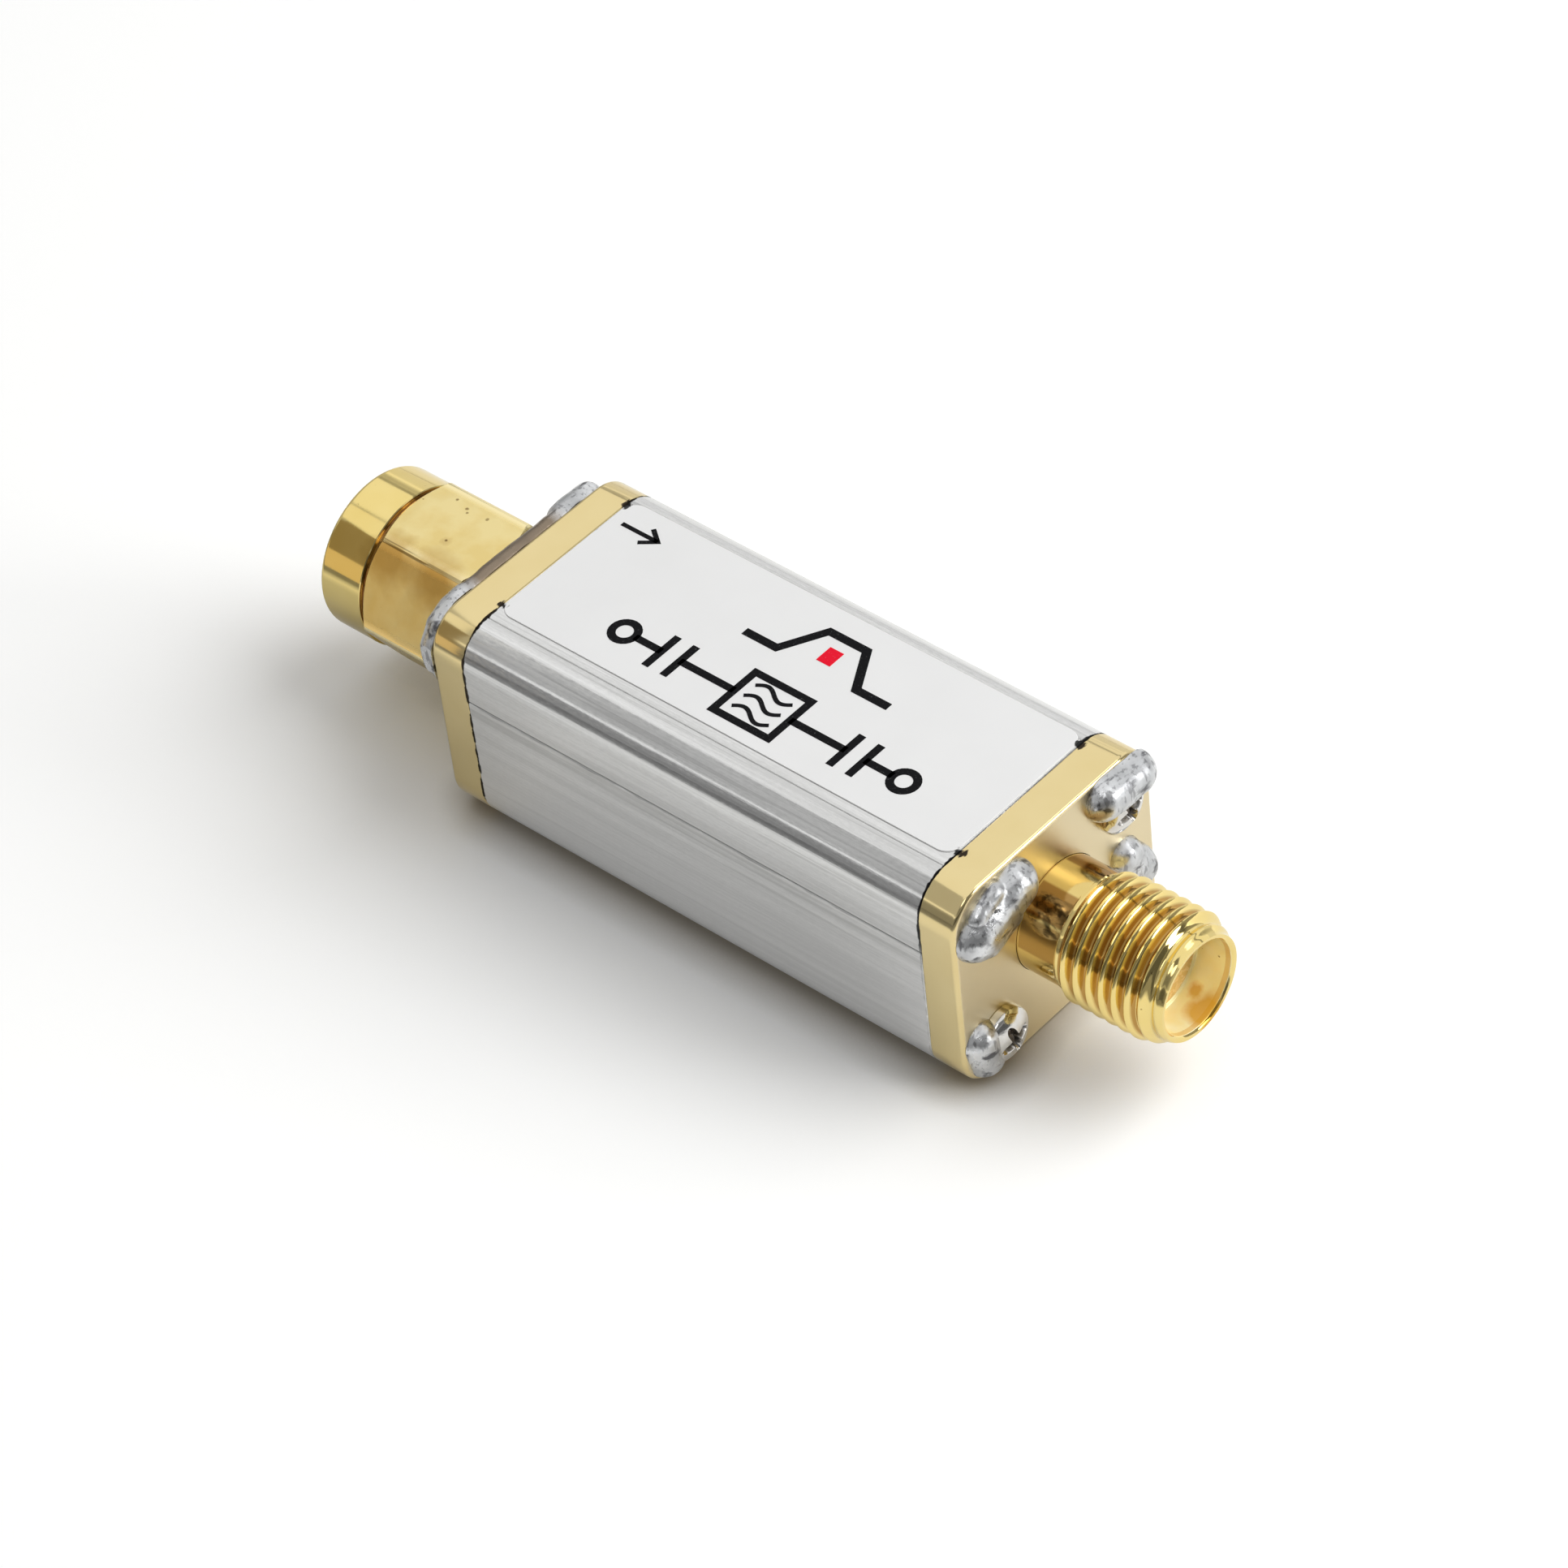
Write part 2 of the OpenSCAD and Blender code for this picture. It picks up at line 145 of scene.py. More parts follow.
ceiling_middle = Vector((0.0, 0.39, 0.92)).normalized()
ceiling_edge, ceiling_blur, ceiling_light = 0.714, 0.008, 0.95
seam_across, seam_half, seam_share = Vector((0.0, 0.656, -0.755)), 0.03, 0.35
wall_light, skirting_light, skirting_blur = 0.5, 0.27, 0.1
gap_low, gap_high, gap_blur, gap_light = 0.33, 0.38, 0.02, 1.0
far_wall, far_wall_light = (0.6, 0.72), 0.78
right_wall, right_wall_share = (0.1, 0.45), 0.4
windows = ((Vector((0.476, 0.438, 0.762)), 0.988), (Vector((0.5, -0.4, 0.768)), 0.985))
window_blur, window_light = 0.003, 2.2
soft_share = 0.8
world = bpy.data.worlds.new("white_studio")
world.use_nodes = True
scene.world = world
sky = world.node_tree
sky.nodes.clear()
looking = add(sky, "ShaderNodeTexCoord").outputs["Generated"]
heading = axes_of(looking)
walls = ramp(heading["Z"], gap_low - skirting_blur, gap_high, skirting_light, wall_light)
walls = between(within(heading["Z"], gap_low, gap_high, gap_blur), walls, gap_light)
walls = maths("MAXIMUM", walls, ramp(heading["Y"], *far_wall, 0.0, far_wall_light))
walls = maths("MULTIPLY", walls, ramp(heading["X"], *right_wall, 1.0, right_wall_share))
facing_ceiling = measured("DOT_PRODUCT", looking, ceiling_middle)
ceiling = ramp(facing_ceiling, ceiling_edge - ceiling_blur, ceiling_edge + ceiling_blur)
from_seam = measured("DOT_PRODUCT", looking, seam_across)
seam = within(from_seam, -seam_half, seam_half, ceiling_blur)
ceiling_panels = between(seam, ceiling_light, ceiling_light * seam_share)
room_light = between(ceiling, walls, ceiling_panels)
shining = room_light
for window_side, window_edge in windows:
    facing_window = measured("DOT_PRODUCT", looking, window_side)
    window = ramp(facing_window, window_edge - window_blur, window_edge, 0.0, window_light)
    shining = maths("MAXIMUM", shining, window)
ray = add(sky, "ShaderNodeLightPath").outputs
soft_light = maths("MULTIPLY", room_light, soft_share)
room = feed("ShaderNodeBackground", {"Strength": between(ray["Is Glossy Ray"], soft_light, shining)})
backdrop = add(sky, "ShaderNodeBackground", {"Strength": 1.0})
for background in (room, backdrop):
    background.inputs["Color"].default_value = grey(1.0)
sky_shader = feed("ShaderNodeMixShader", {
    0: ray["Is Camera Ray"], 1: room.outputs[0], 2: backdrop.outputs[0],
})
feed("ShaderNodeOutputWorld", {"Surface": sky_shader.outputs[0]})

floor_size = 4.0
floor_white, contact_shadow = (1.0, 1.0, 0.99, 1.0), (0.32, 0.28, 0.22, 1.0)
contact_reach, camera_loss, camera_glow = 0.0025, 0.15, 0.02
dark_floor, dark_distance, dark_edge = grey(0.25), (0.045, 0.06), (0.0, 0.01)
# Seen only in the metal, the floor darkens far off in front, and two painted shadow pools lie under the nut.
painted_shadow_pools = (((-0.032, -0.01, 0.0), 0.008, 0.018, 0.45), ((-0.0225, 0.002, 0.0), 0.003, 0.006, 0.6))
floor = bpy.data.objects.new("floor", bpy.data.meshes.new("floor"))
floor.data.from_pydata(
    [(x * floor_size, y * floor_size, 0.0) for x, y in ((-1, -1), (1, -1), (1, 1), (-1, 1))],
    [], [(0, 1, 2, 3)],
)
scene.collection.objects.link(floor)
floor_paint = bpy.data.materials.new("pale_floor")
floor_paint.use_nodes = True
paint = floor_paint.node_tree
paint.nodes.clear()
floor_seen = add(paint, "ShaderNodeLightPath").outputs["Is Camera Ray"]
floor_spot = add(paint, "ShaderNodeTexCoord").outputs["Object"]
unseen = maths("SUBTRACT", 1.0, floor_seen)
in_front = ramp(axes_of(floor_spot)["Y"], *dark_edge, 1.0, 0.0)
from_filter = measured("LENGTH", floor_spot)
dark_share = maths("MULTIPLY", ramp(from_filter, *dark_distance), in_front)
for place, near_end, far_end, shade in painted_shadow_pools:
    distance = measured("DISTANCE", floor_spot, place)
    dark_share = maths("MAXIMUM", dark_share, ramp(distance, near_end, far_end, shade, 0.0))
dark_share = maths("MULTIPLY", dark_share, unseen)
near_contact = add(paint, "ShaderNodeAmbientOcclusion", {"Distance": contact_reach}).outputs["AO"]
open_floor = maths("MAXIMUM", ramp(near_contact, 0.3, 0.9), unseen)
shown_floor = mixed(open_floor, contact_shadow, floor_white)
shown_floor = mixed(floor_seen, mixed(camera_loss, shown_floor, grey(0.0)), shown_floor)
floor_diffuse = feed("ShaderNodeBsdfDiffuse", {"Color": mixed(dark_share, shown_floor, dark_floor)})
floor_glow = feed("ShaderNodeEmission", {
    "Color": floor_white, "Strength": maths("MULTIPLY", floor_seen, camera_glow),
})
floor_shader = feed("ShaderNodeAddShader", {0: floor_diffuse.outputs[0], 1: floor_glow.outputs[0]})
feed("ShaderNodeOutputMaterial", {"Surface": floor_shader.outputs[0]})
floor.data.materials.append(floor_paint)

mm = 0.001
card_facing = Vector((-0.522, -0.853, 0.0))
card_along = Vector((0.853, -0.522, 0.0))
card_distance = 0.0838
for card_name, colour, corners in (
    ("low_card", (0.70, 0.57, 0.38, 1.0), ((-15, 0.2), (-60, 0.2), (-60, 25), (-15, 25))),
    ("high_card", (0.28, 0.23, 0.15, 1.0), ((-16.5, 25), (-60, 25), (-60, 78), (-32, 78))),
    ("bright_card", (0.92, 0.90, 0.84, 1.0), ((-35, 78), (-110, 78), (-110, 150), (-77, 150))),
):
    card = bpy.data.objects.new(card_name, bpy.data.meshes.new(card_name))
    places = [
        card_distance * card_facing + mm * along * card_along + Vector((0.0, 0.0, mm * up))
        for along, up in corners
    ]
    card.data.from_pydata(places, [], [(0, 1, 2, 3)])
    card_paint = bpy.data.materials.new(card_name)
    card_paint.use_nodes = True
    card_tree = card_paint.node_tree
    card_tree.nodes.clear()
    glow = add(card_tree, "ShaderNodeEmission", {"Color": colour, "Strength": 1.0})
    feed("ShaderNodeOutputMaterial", {"Surface": glow.outputs[0]})
    card.data.materials.append(card_paint)
    card.visible_camera = card.visible_diffuse = card.visible_shadow = False
    scene.collection.objects.link(card)

# Housing: one length of drawn aluminium tube with round corners, sawn square and left bare. The
# die has left fine lines along it, and each inner corner has a port that an end screw bites into.
body_end, body_side, body_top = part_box("housing")[1] / mm
body_middle = body_top / 2
corner_radius = 2.0
saw_burr = 0.04
wall = 1.2
screw_across, screw_up = 4.3, 3.6
boss_radius, port_radius = 1.45, 0.8
slot_low, slot_high, slot_side = 4.64, 5.74, 5.9
die_line, die_line_depth = 0.1, 0.05
side_line_height = 7.8
# Where the flecks of painted shade sit by the label corners, where the joint is spared by the label, and
# where it fades low on the jack side.
corner_shade_places, spared_by_label = (-3.75, 4.55), (-3.5, 4.4)
faded_height, faded_share = (7.0, 8.5), 0.7


def arc(y, z, radius, start, end, steps):
    """Points along an arc, by its angles in degrees from +Y towards +Z."""
    turns = (math.radians(start + (end - start) * i / steps) for i in range(steps + 1))
    return [(y + radius * math.cos(turn), z + radius * math.sin(turn)) for turn in turns]


def circle(y, z, radius, steps):
    """Points all the way round."""
    return arc(y, z, radius, 0, 360 - 360 / steps, steps - 1)


def both_sides(right):
    """Closes an outline whose right half runs from the bottom to the top."""
    return right + [(-y, z) for y, z in reversed(right)]


def drawn_outline(inset=0.0):
    """Outside of the tube with its die lines, taken in by inset."""
    bend_y, bend_low, bend_high = body_side - corner_radius, corner_radius, body_top - corner_radius
    radius = corner_radius - inset
    side = body_side - inset
    line_turn = math.degrees(die_line / radius)
    return both_sides(
        arc(bend_y, bend_low, radius, -90, 0, 12)
        + [(side, side_line_height - die_line), (side - die_line_depth, side_line_height),
           (side, side_line_height + die_line)]
        + arc(bend_y, bend_high, radius, 0, 90 - line_turn, 12)
        + [(bend_y, body_top - inset - die_line_depth), (bend_y - die_line, body_top - inset)]
    )


def cavity_outline():
    """Inside of the tube: a boss round each screw port, and a slot for the board in each side."""
    cavity_side, cavity_up = body_side - wall, body_middle - wall
    boss = arc(
        screw_across, body_middle + screw_up, boss_radius,
        -math.degrees(math.acos((cavity_side - screw_across) / boss_radius)),
        -180 - math.degrees(math.asin((cavity_up - screw_up) / boss_radius)), 16,
    )
    slot = [(cavity_side, slot_low), (slot_side, slot_low), (slot_side, slot_high), (cavity_side, slot_high)]
    return both_sides([(y, body_top - z) for y, z in reversed(boss)] + slot + boss)


def screw_holes(radius):
    """Four round holes at the screw places."""
    places = [(y, body_middle + z) for y in (-screw_across, screw_across) for z in (-screw_up, screw_up)]
    return [circle(y, z, radius, 48) for y, z in places]


def skin(shape, rings):
    """Covers a row of rings of points and returns its first and last ring of corners."""
    loops = [[shape.verts.new(point) for point in ring] for ring in rings]
    for here, there in zip(loops, loops[1:]):
        for i in range(len(here)):
            shape.faces.new((here[i - 1], here[i], there[i], there[i - 1]))
    return loops[0], loops[-1]


def fill_between(shape, loops):
    """Closes the flat face between an outline and the holes in it."""
    edges = [shape.edges.get((loop[i - 1], loop[i])) for loop in loops for i in range(len(loop))]
    bmesh.ops.triangle_fill(shape, edges=edges, use_beauty=True)


def pierced_block(outside, holes):
    """A solid along X: outside is a row of (x, outline), and each hole goes right through."""
    shape = bmesh.new()
    ends = (outside[0][0], outside[-1][0])
    rows = [outside] + [[(x, hole) for x in ends] for hole in holes]
    loops = [skin(shape, [[(x, y, z) for y, z in outline] for x, outline in row]) for row in rows]
    for end in (0, 1):
        fill_between(shape, [pair[end] for pair in loops])
    return shape


def settled(piece):
    """Fixes a piece's modifiers into its mesh."""
    graph = bpy.context.evaluated_depsgraph_get()
    finished = bpy.data.meshes.new_from_object(
        piece.evaluated_get(graph), preserve_all_data_layers=True, depsgraph=graph
    )
    piece.modifiers.clear()
    piece.data = finished
    return piece


def made_piece(name, shape, finish, nodes=(), body="filter", sharp=30):
    """Turns a shape in millimetres into a piece in its place, shaded soft up to its edges."""
    bmesh.ops.remove_doubles(shape, verts=shape.verts, dist=0.0008)
    bmesh.ops.recalc_face_normals(shape, faces=shape.faces)
    bmesh.ops.scale(shape, vec=(mm, mm, mm), verts=shape.verts)
    mesh = bpy.data.meshes.new(name)
    shape.to_mesh(mesh)
    shape.free()
    mesh.materials.clear()
    mesh.materials.append(finish)
    mesh.shade_smooth()
    mesh.set_sharp_from_angle(angle=math.radians(sharp))
    piece = bpy.data.objects.new(name, mesh)
    scene.collection.objects.link(piece)
    weights = piece.modifiers.new("flat_faces_stay_flat", "WEIGHTED_NORMAL")
    weights.keep_sharp = True
    settled(piece)
    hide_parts(*nodes)
    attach(piece, body)
    return piece


def finish_of(name, sockets):
    """A material with one shader. Returns it, its shader and the spot in millimetres."""
    material = bpy.data.materials.new(name)
    material.use_nodes = True
    shader = material.node_tree.nodes["Principled BSDF"]
    for socket, value in sockets.items():
        shader.inputs[socket].default_value = value
    where = add(material.node_tree, "ShaderNodeTexCoord").outputs["Object"]
    spot = feed("ShaderNodeMapping", {"Vector": where, "Scale": (1 / mm,) * 3}).outputs["Vector"]
    return material, shader, spot


def mottle(spot, scale, stretch=(1.0, 1.0, 1.0), detail=2.0):
    """Uneven pattern from 0 to 1, with scale patches to the millimetre before it is stretched."""
    stretched = feed("ShaderNodeMapping", {"Vector": spot, "Scale": stretch}).outputs["Vector"]
    sockets = {"Vector": stretched, "Scale": scale, "Detail": detail}
    return feed("ShaderNodeTexNoise", sockets).outputs["Fac"]


def connect(pattern, shader, name):
    """Links a pattern to one of a shader's inputs."""
    shader.id_data.links.new(pattern, shader.inputs[name])


def surface(shader, colour, roughness):
    """Gives a shader the patterns of its colour and its roughness."""
    connect(colour, shader, "Base Color")
    connect(roughness, shader, "Roughness")


def relief(shader, height, depth):
    """Lets a pattern stand out of the surface by depth millimetres."""
    sockets = {"Height": height, "Distance": depth * mm, "Strength": 1.0}
    connect(feed("ShaderNodeBump", sockets).outputs["Normal"], shader, "Normal")


def vector_of(**axes):
    """Joins X, Y and Z into a vector."""
    return feed("ShaderNodeCombineXYZ", axes).outputs["Vector"]


def seam_shade_and_dirt(spot, reach):
    """Painted shade and dark residue in the joint between the tube and an end plate, with a fleck of painted
    shade by each label corner.
    """
    apart = axes_of(spot)
    from_seam = maths("SUBTRACT", maths("ABSOLUTE", apart["X"]), body_end)
    ragged = ramp(mottle(spot, 1.6, detail=6.0), 0.35, 0.65, 0.1 * reach, 1.8 * reach)
    past_edge = maths("SUBTRACT", maths("ABSOLUTE", from_seam), ragged)
    shade_and_dirt = ramp(past_edge, -0.3 * reach, 0.3 * reach, 1.0, 0.0)
    on_top = ramp(apart["Z"], body_top - 0.3, body_top - 0.1)
    by_label = maths("MULTIPLY", within(apart["Y"], *spared_by_label, 0.3), on_top)
    low_down = ramp(apart["Z"], *faded_height, faded_share, 0.0)
    faded = maths("MULTIPLY", ramp(apart["X"], 0.0, 1.0), low_down)
    spared = maths("MAXIMUM", by_label, faded)
    shade_and_dirt = maths("MULTIPLY", shade_and_dirt, maths("SUBTRACT", 1.0, spared))
    for corner_y in corner_shade_places:
        place = vector_of(
            X=from_seam, Y=maths("SUBTRACT", apart["Y"], corner_y), Z=maths("SUBTRACT", apart["Z"], body_top)
        )
        away = measured("LENGTH", place)
        torn = maths("MULTIPLY", mottle(spot, 3.4, (1.0, 0.5, 1.0), 5.0), 0.9)
        corner_shade = ramp(maths("SUBTRACT", away, torn), -0.24, -0.16, 1.0, 0.0)
        shade_and_dirt = maths("MAXIMUM", shade_and_dirt, corner_shade)
    return shade_and_dirt


def drawn_aluminium():
    finish, shader, spot = finish_of("drawn_aluminium", {"Metallic": 1.0})
    broad = mottle(spot, 1.1, (0.02, 1.0, 1.0), 3.0)
    fine = mottle(spot, 9.0, (0.012, 1.0, 1.0), 4.0)
    grain = mottle(spot, 11.0, (0.3, 1.0, 1.0), 3.0)
    scores = mottle(spot, 2.3, (0.015, 1.0, 1.0), 5.0)
    streaks = maths("MULTIPLY", broad, 0.5)
    for lines, share in ((fine, 0.3), (grain, 0.2)):
        streaks = maths("ADD", streaks, maths("MULTIPLY", lines, share))
    bare = mixed(ramp(streaks, 0.38, 0.6), (0.64, 0.64, 0.63, 1.0), (0.85, 0.85, 0.84, 1.0))
    bare = mixed(ramp(scores, 0.6, 0.64, 0.0, 0.35), bare, (0.42, 0.42, 0.41, 1.0))
    height = axes_of(spot)["Z"]
    wander = ramp(mottle(spot, 0.4, (1.0, 0.0, 0.0), 4.0), 0.3, 0.7, -0.05, 0.05)
    off_line = maths("SUBTRACT", maths("ADD", height, wander), side_line_height)
    # Painted light: the tube is made lighter towards the bottom.
    bare = mixed(ramp(height, 3.5, 7.5, 0.5, 0.0), bare, grey(0.97))
    # Painted shade along the die line in each side of the tube.
    die_line_shade = within(off_line, -0.06, 0.03, 0.04)
    bare = mixed(maths("MULTIPLY", die_line_shade, 0.75), bare, grey(0.22))
    # Painted shade, with some residue, darkens the tube at the joints with the plates.
    shaded_and_dirty = mixed(seam_shade_and_dirt(spot, 0.07), bare, grey(0.03))
    surface(shader, shaded_and_dirty, ramp(grain, 0.3, 0.7, 0.08, 0.17))
    relief(shader, maths("ADD", fine, maths("MULTIPLY", grain, 0.35)), 0.003)
    return finish


housing_outside = [
    (-body_end, drawn_outline(saw_burr)), (-body_end + saw_burr, drawn_outline()),
    (body_end - saw_burr, drawn_outline()), (body_end, drawn_outline(saw_burr)),
]
made_piece(
    "drawn_housing", pierced_block(housing_outside, [cavity_outline()] + screw_holes(port_radius)),
    drawn_aluminium(), ["housing"],
)

# Label: white printed film, stuck on the top a little towards the back. It shows a filter as a
# circuit is drawn: two ports, two pairs of plates, a box with three waves, and over them a curve
# of the band that it passes.
label_low, label_high = (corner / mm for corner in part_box("label"))
label_corner = 0.8
film_thickness, film_edge = 0.06, 0.04
film_top = label_low.z + film_thickness
ink_sink, ink_thickness = 0.005, 0.012
stroke, curve_stroke, wave_stroke, arrow_stroke = 0.4, 0.45, 0.22, 0.24
longest_mitre = 0.35


def rounded_outline(low, high, radius, inset=0.0):
    """A rectangle with round corners, seen from above."""
    bends = ((high.x, high.y, 0), (low.x, high.y, 90), (low.x, low.y, 180), (high.x, low.y, 270))
    points = []
    for x, y, turn in bends:
        bend_x = x - math.copysign(radius, x - (low.x + high.x) / 2)
        bend_y = y - math.copysign(radius, y - (low.y + high.y) / 2)
        points += arc(bend_x, bend_y, radius - inset, turn, turn + 90, 10)
    return points


def label_film():
    finish, shader, spot = finish_of("label_film", {"Specular IOR Level": 0.35})
    clouds = mottle(spot, 0.25, detail=3.0)
    pores = mottle(spot, 18.0, detail=2.0)
    paper = mixed(clouds, (0.74, 0.74, 0.735, 1.0), (0.79, 0.79, 0.785, 1.0))
    # Painted shade darkens the film at the plate joints and by its corners.
    shaded_and_dirty = mixed(seam_shade_and_dirt(spot, 0.03), paper, grey(0.03))
    surface(shader, shaded_and_dirty, ramp(pores, 0.3, 0.7, 0.42, 0.6))
    relief(shader, pores, 0.002)
    return finish


def printing_ink(name, colour):
    finish, shader, spot = finish_of(name, {"Roughness": 0.7, "Specular IOR Level": 0.05})
    worn = mottle(spot, 9.0, detail=4.0)
    pale = tuple(0.85 * part + 0.15 * 0.5 for part in colour[:3]) + (1.0,)
    connect(mixed(ramp(worn, 0.62, 0.75), colour, pale), shader, "Base Color")
    return finish


film = bmesh.new()
film_rings = [
    [(x, y, z) for x, y in rounded_outline(label_low, label_high, label_corner, inset)]
    for z, inset in (
        (label_low.z, 0.0), (film_top - film_edge, 0.01),
        (film_top - 0.3 * film_edge, 0.4 * film_edge), (film_top, film_edge),
    )
]
for film_end in skin(film, film_rings):
    film.faces.new(film_end)
made_piece("printed_label", film, label_film(), ["label"])


def ink_line(shape, points, width=stroke, closed=False):
    """Prints a line of even width through the points, with square corners and ends."""
    spots = [Vector(point) for point in points]
    count = len(spots)
    sides = []
    for i, here in enumerate(spots):
        before = spots[i - 1] if closed or i > 0 else here
        after = spots[(i + 1) % count] if closed or i < count - 1 else here
        steps = [(b - a).normalized() for a, b in ((before, here), (here, after)) if a != b]
        along = sum(steps, Vector((0.0, 0.0))).normalized()
        out = Vector((-along.y, along.x)) * width / 2 / max(along.dot(steps[0]), longest_mitre)
        sides.append((here + out, here - out))
    heights = (film_top - ink_sink, film_top + ink_thickness)
    rings = [
        [shape.verts.new((spot.x, spot.y, z)) for spot, z in (
            (left, heights[0]), (right, heights[0]), (right, heights[1]), (left, heights[1]),
        )]
        for left, right in sides
    ]
    for here, there in zip(rings, rings[1:] + rings[:1] if closed else rings[1:]):
        for i in range(4):
            shape.faces.new((here[i - 1], here[i], there[i], there[i - 1]))
    if not closed:
        shape.faces.new(rings[0])
        shape.faces.new(rings[-1])


circuit_y = -1.85
circuit_left, circuit_right = -8.3, 9.4
port_ring = 0.62
plate_gap, plate_reach = 0.55, 1.15
plate_places = (-4.9, 6.0)
box_left, box_right, box_reach = -1.1, 2.2, 1.45
black_print = bmesh.new()
for port in (circuit_left + port_ring, circuit_right - port_ring):
    ink_line(black_print, circle(port, circuit_y, port_ring, 24), closed=True)
wire_ends = (
    circuit_left + 2 * port_ring, plate_places[0] - plate_gap, plate_places[0] + plate_gap, box_left,
    box_right, plate_places[1] - plate_gap, plate_places[1] + plate_gap, circuit_right - 2 * port_ring,
)
for start, end in zip(wire_ends[::2], wire_ends[1::2]):
    ink_line(black_print, [(start, circuit_y), (end, circuit_y)])
for plate in plate_places:
    for x in (plate - plate_gap, plate + plate_gap):
        ink_line(black_print, [(x, circuit_y - plate_reach), (x, circuit_y + plate_reach)])
ink_line(black_print, [
    (box_left, circuit_y - box_reach), (box_right, circuit_y - box_reach),
    (box_right, circuit_y + box_reach), (box_left, circuit_y + box_reach),
], closed=True)
wave_inset, wave_height, wave_gap, wave_steps = 0.55, 0.26, 0.8, 24
wave_left, wave_right = box_left + wave_inset, box_right - wave_inset
for wave_y in (-wave_gap, 0.0, wave_gap):
    ink_line(black_print, [
        (wave_left + (wave_right - wave_left) * i / wave_steps,
         circuit_y + wave_y + wave_height * math.sin(math.tau * i / wave_steps))
        for i in range(wave_steps + 1)
    ], width=wave_stroke)

band_left, band_right, band_low, band_high = -3.3, 5.2, 1.35, 3.55
band_foot, band_skirt = 1.9, 1.25
ink_line(black_print, [
    (band_left, band_low), (band_left + band_foot, band_low),
    (band_left + band_foot + band_skirt, band_high), (band_right - band_foot - band_skirt, band_high),
    (band_right - band_foot, band_low), (band_right, band_low),
], width=curve_stroke)
arrow_y, arrow_left, arrow_right = 3.5, -12.7, -10.5
barb_back, barb_out = 0.75, 0.55
ink_line(black_print, [(arrow_left, arrow_y), (arrow_right, arrow_y)], width=arrow_stroke)
ink_line(black_print, [
    (arrow_right - barb_back, arrow_y + barb_out), (arrow_right, arrow_y),
    (arrow_right - barb_back, arrow_y - barb_out),
], width=arrow_stroke)
made_piece("label_print", black_print, printing_ink("black_ink", (0.008, 0.008, 0.009, 1.0)))

red_print = bmesh.new()
marker_x, marker_y = (band_left + band_right) / 2, 2.3
marker_reach, marker_width = 0.5, 0.8
ink_line(
    red_print, [(marker_x, marker_y - marker_reach), (marker_x, marker_y + marker_reach)], width=marker_width
)
made_piece("label_band_marker", red_print, printing_ink("red_ink", (0.75, 0.01, 0.03, 1.0)))

# End plates: milled brass, plated with satin gold, one screwed over each end of the tube. Their
# outer rim is rounded over, and the port passes through the middle.
plate_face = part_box("jack_end_plate")[1].x / mm
plate_edge, inner_edge = 0.25, 0.05
plate_hole_radius, port_clearance = 0.85, 0.02
connector_height = body_middle + 0.3
barrel_radius = 2.82
segments = 96


def body_outline(inset=0.0):
    """Outside of the tube without its die lines, taken in by inset."""
    bend_y, bend_low, bend_high = body_side - corner_radius, corner_radius, body_top - corner_radius
    radius = corner_radius - inset
    return both_sides(arc(bend_y, bend_low, radius, -90, 0, 16) + arc(bend_y, bend_high, radius, 0, 90, 16))


def plate_gold():
    finish, shader, spot = finish_of("satin_gold", {"Metallic": 1.0})
    cast = mottle(spot, 0.5, detail=3.0)
    grain = mottle(spot, 16.0, detail=3.0)
    gold = mixed(cast, (0.80, 0.64, 0.31, 1.0), (0.88, 0.73, 0.39, 1.0))
    along = maths("ABSOLUTE", axes_of(spot)["X"])
    on_face = ramp(along, plate_face - 0.03, plate_face - 0.005)
    milled = mixed(cast, (0.78, 0.66, 0.42, 1.0), (0.84, 0.73, 0.49, 1.0))
    # Painted shade, with some residue, darkens the rim at the joint with the tube.
    shade_and_dirt = seam_shade_and_dirt(spot, 0.05)
    shaded_and_dirty = mixed(shade_and_dirt, mixed(on_face, gold, milled), (0.04, 0.03, 0.02, 1.0))
    rim_polish = ramp(cast, 0.3, 0.7, 0.09, 0.15)
    face_polish = ramp(cast, 0.3, 0.7, 0.31, 0.39)
    surface(shader, shaded_and_dirty, between(on_face, rim_polish, face_polish))
    relief(shader, grain, 0.0003)
    return finish


gold_of_plates = plate_gold()
plate_rim = [(body_end, inner_edge), (body_end + inner_edge, 0.0)]
plate_rim += arc(plate_face - plate_edge, plate_edge, plate_edge, -90, 0, 5)
middle_hole = circle(0.0, connector_height, barrel_radius + port_clearance, segments)
for end_name, end in (("jack", 1), ("plug", -1)):
    plate = pierced_block(
        [(end * x, body_outline(inset)) for x, inset in plate_rim],
        [middle_hole] + screw_holes(plate_hole_radius),
    )
    made_piece(f"{end_name}_plate", plate, gold_of_plates, [f"{end_name}_end_plate"])

# Screws: nickel-plated steel with a low domed head and a cross recess, four to a plate, driven
# into the ports of the tube.
head_radius, head_height, head_rim = 1.4, 1.0, 0.45
head_edge, head_foot = 0.1, 0.03
shank_radius, shank_length, shank_tip = 0.78, 5.0, 0.12
recess_turn = math.radians(20)
recess_length, recess_waist, recess_depth = 0.9, 0.37, 0.5
recess_lip, recess_lip_taper, recess_taper, recess_dip = 0.03, 0.94, 0.7, 0.06


def dome_height(radius):
    """Height of the head's domed top over the plate, at this distance from its middle."""
    dome = head_height - head_rim
    ball = (head_radius ** 2 + dome ** 2) / (2 * dome)
    return head_height - ball + math.sqrt(ball ** 2 - radius ** 2)


def recess_reach(turn, taper=1.0):
    """Distance from the middle to the edge of the cross recess, in degrees from one of its arms."""
    share = math.cos(2 * math.radians(turn)) ** 2
    return taper * (recess_waist + (recess_length - recess_waist) * share)


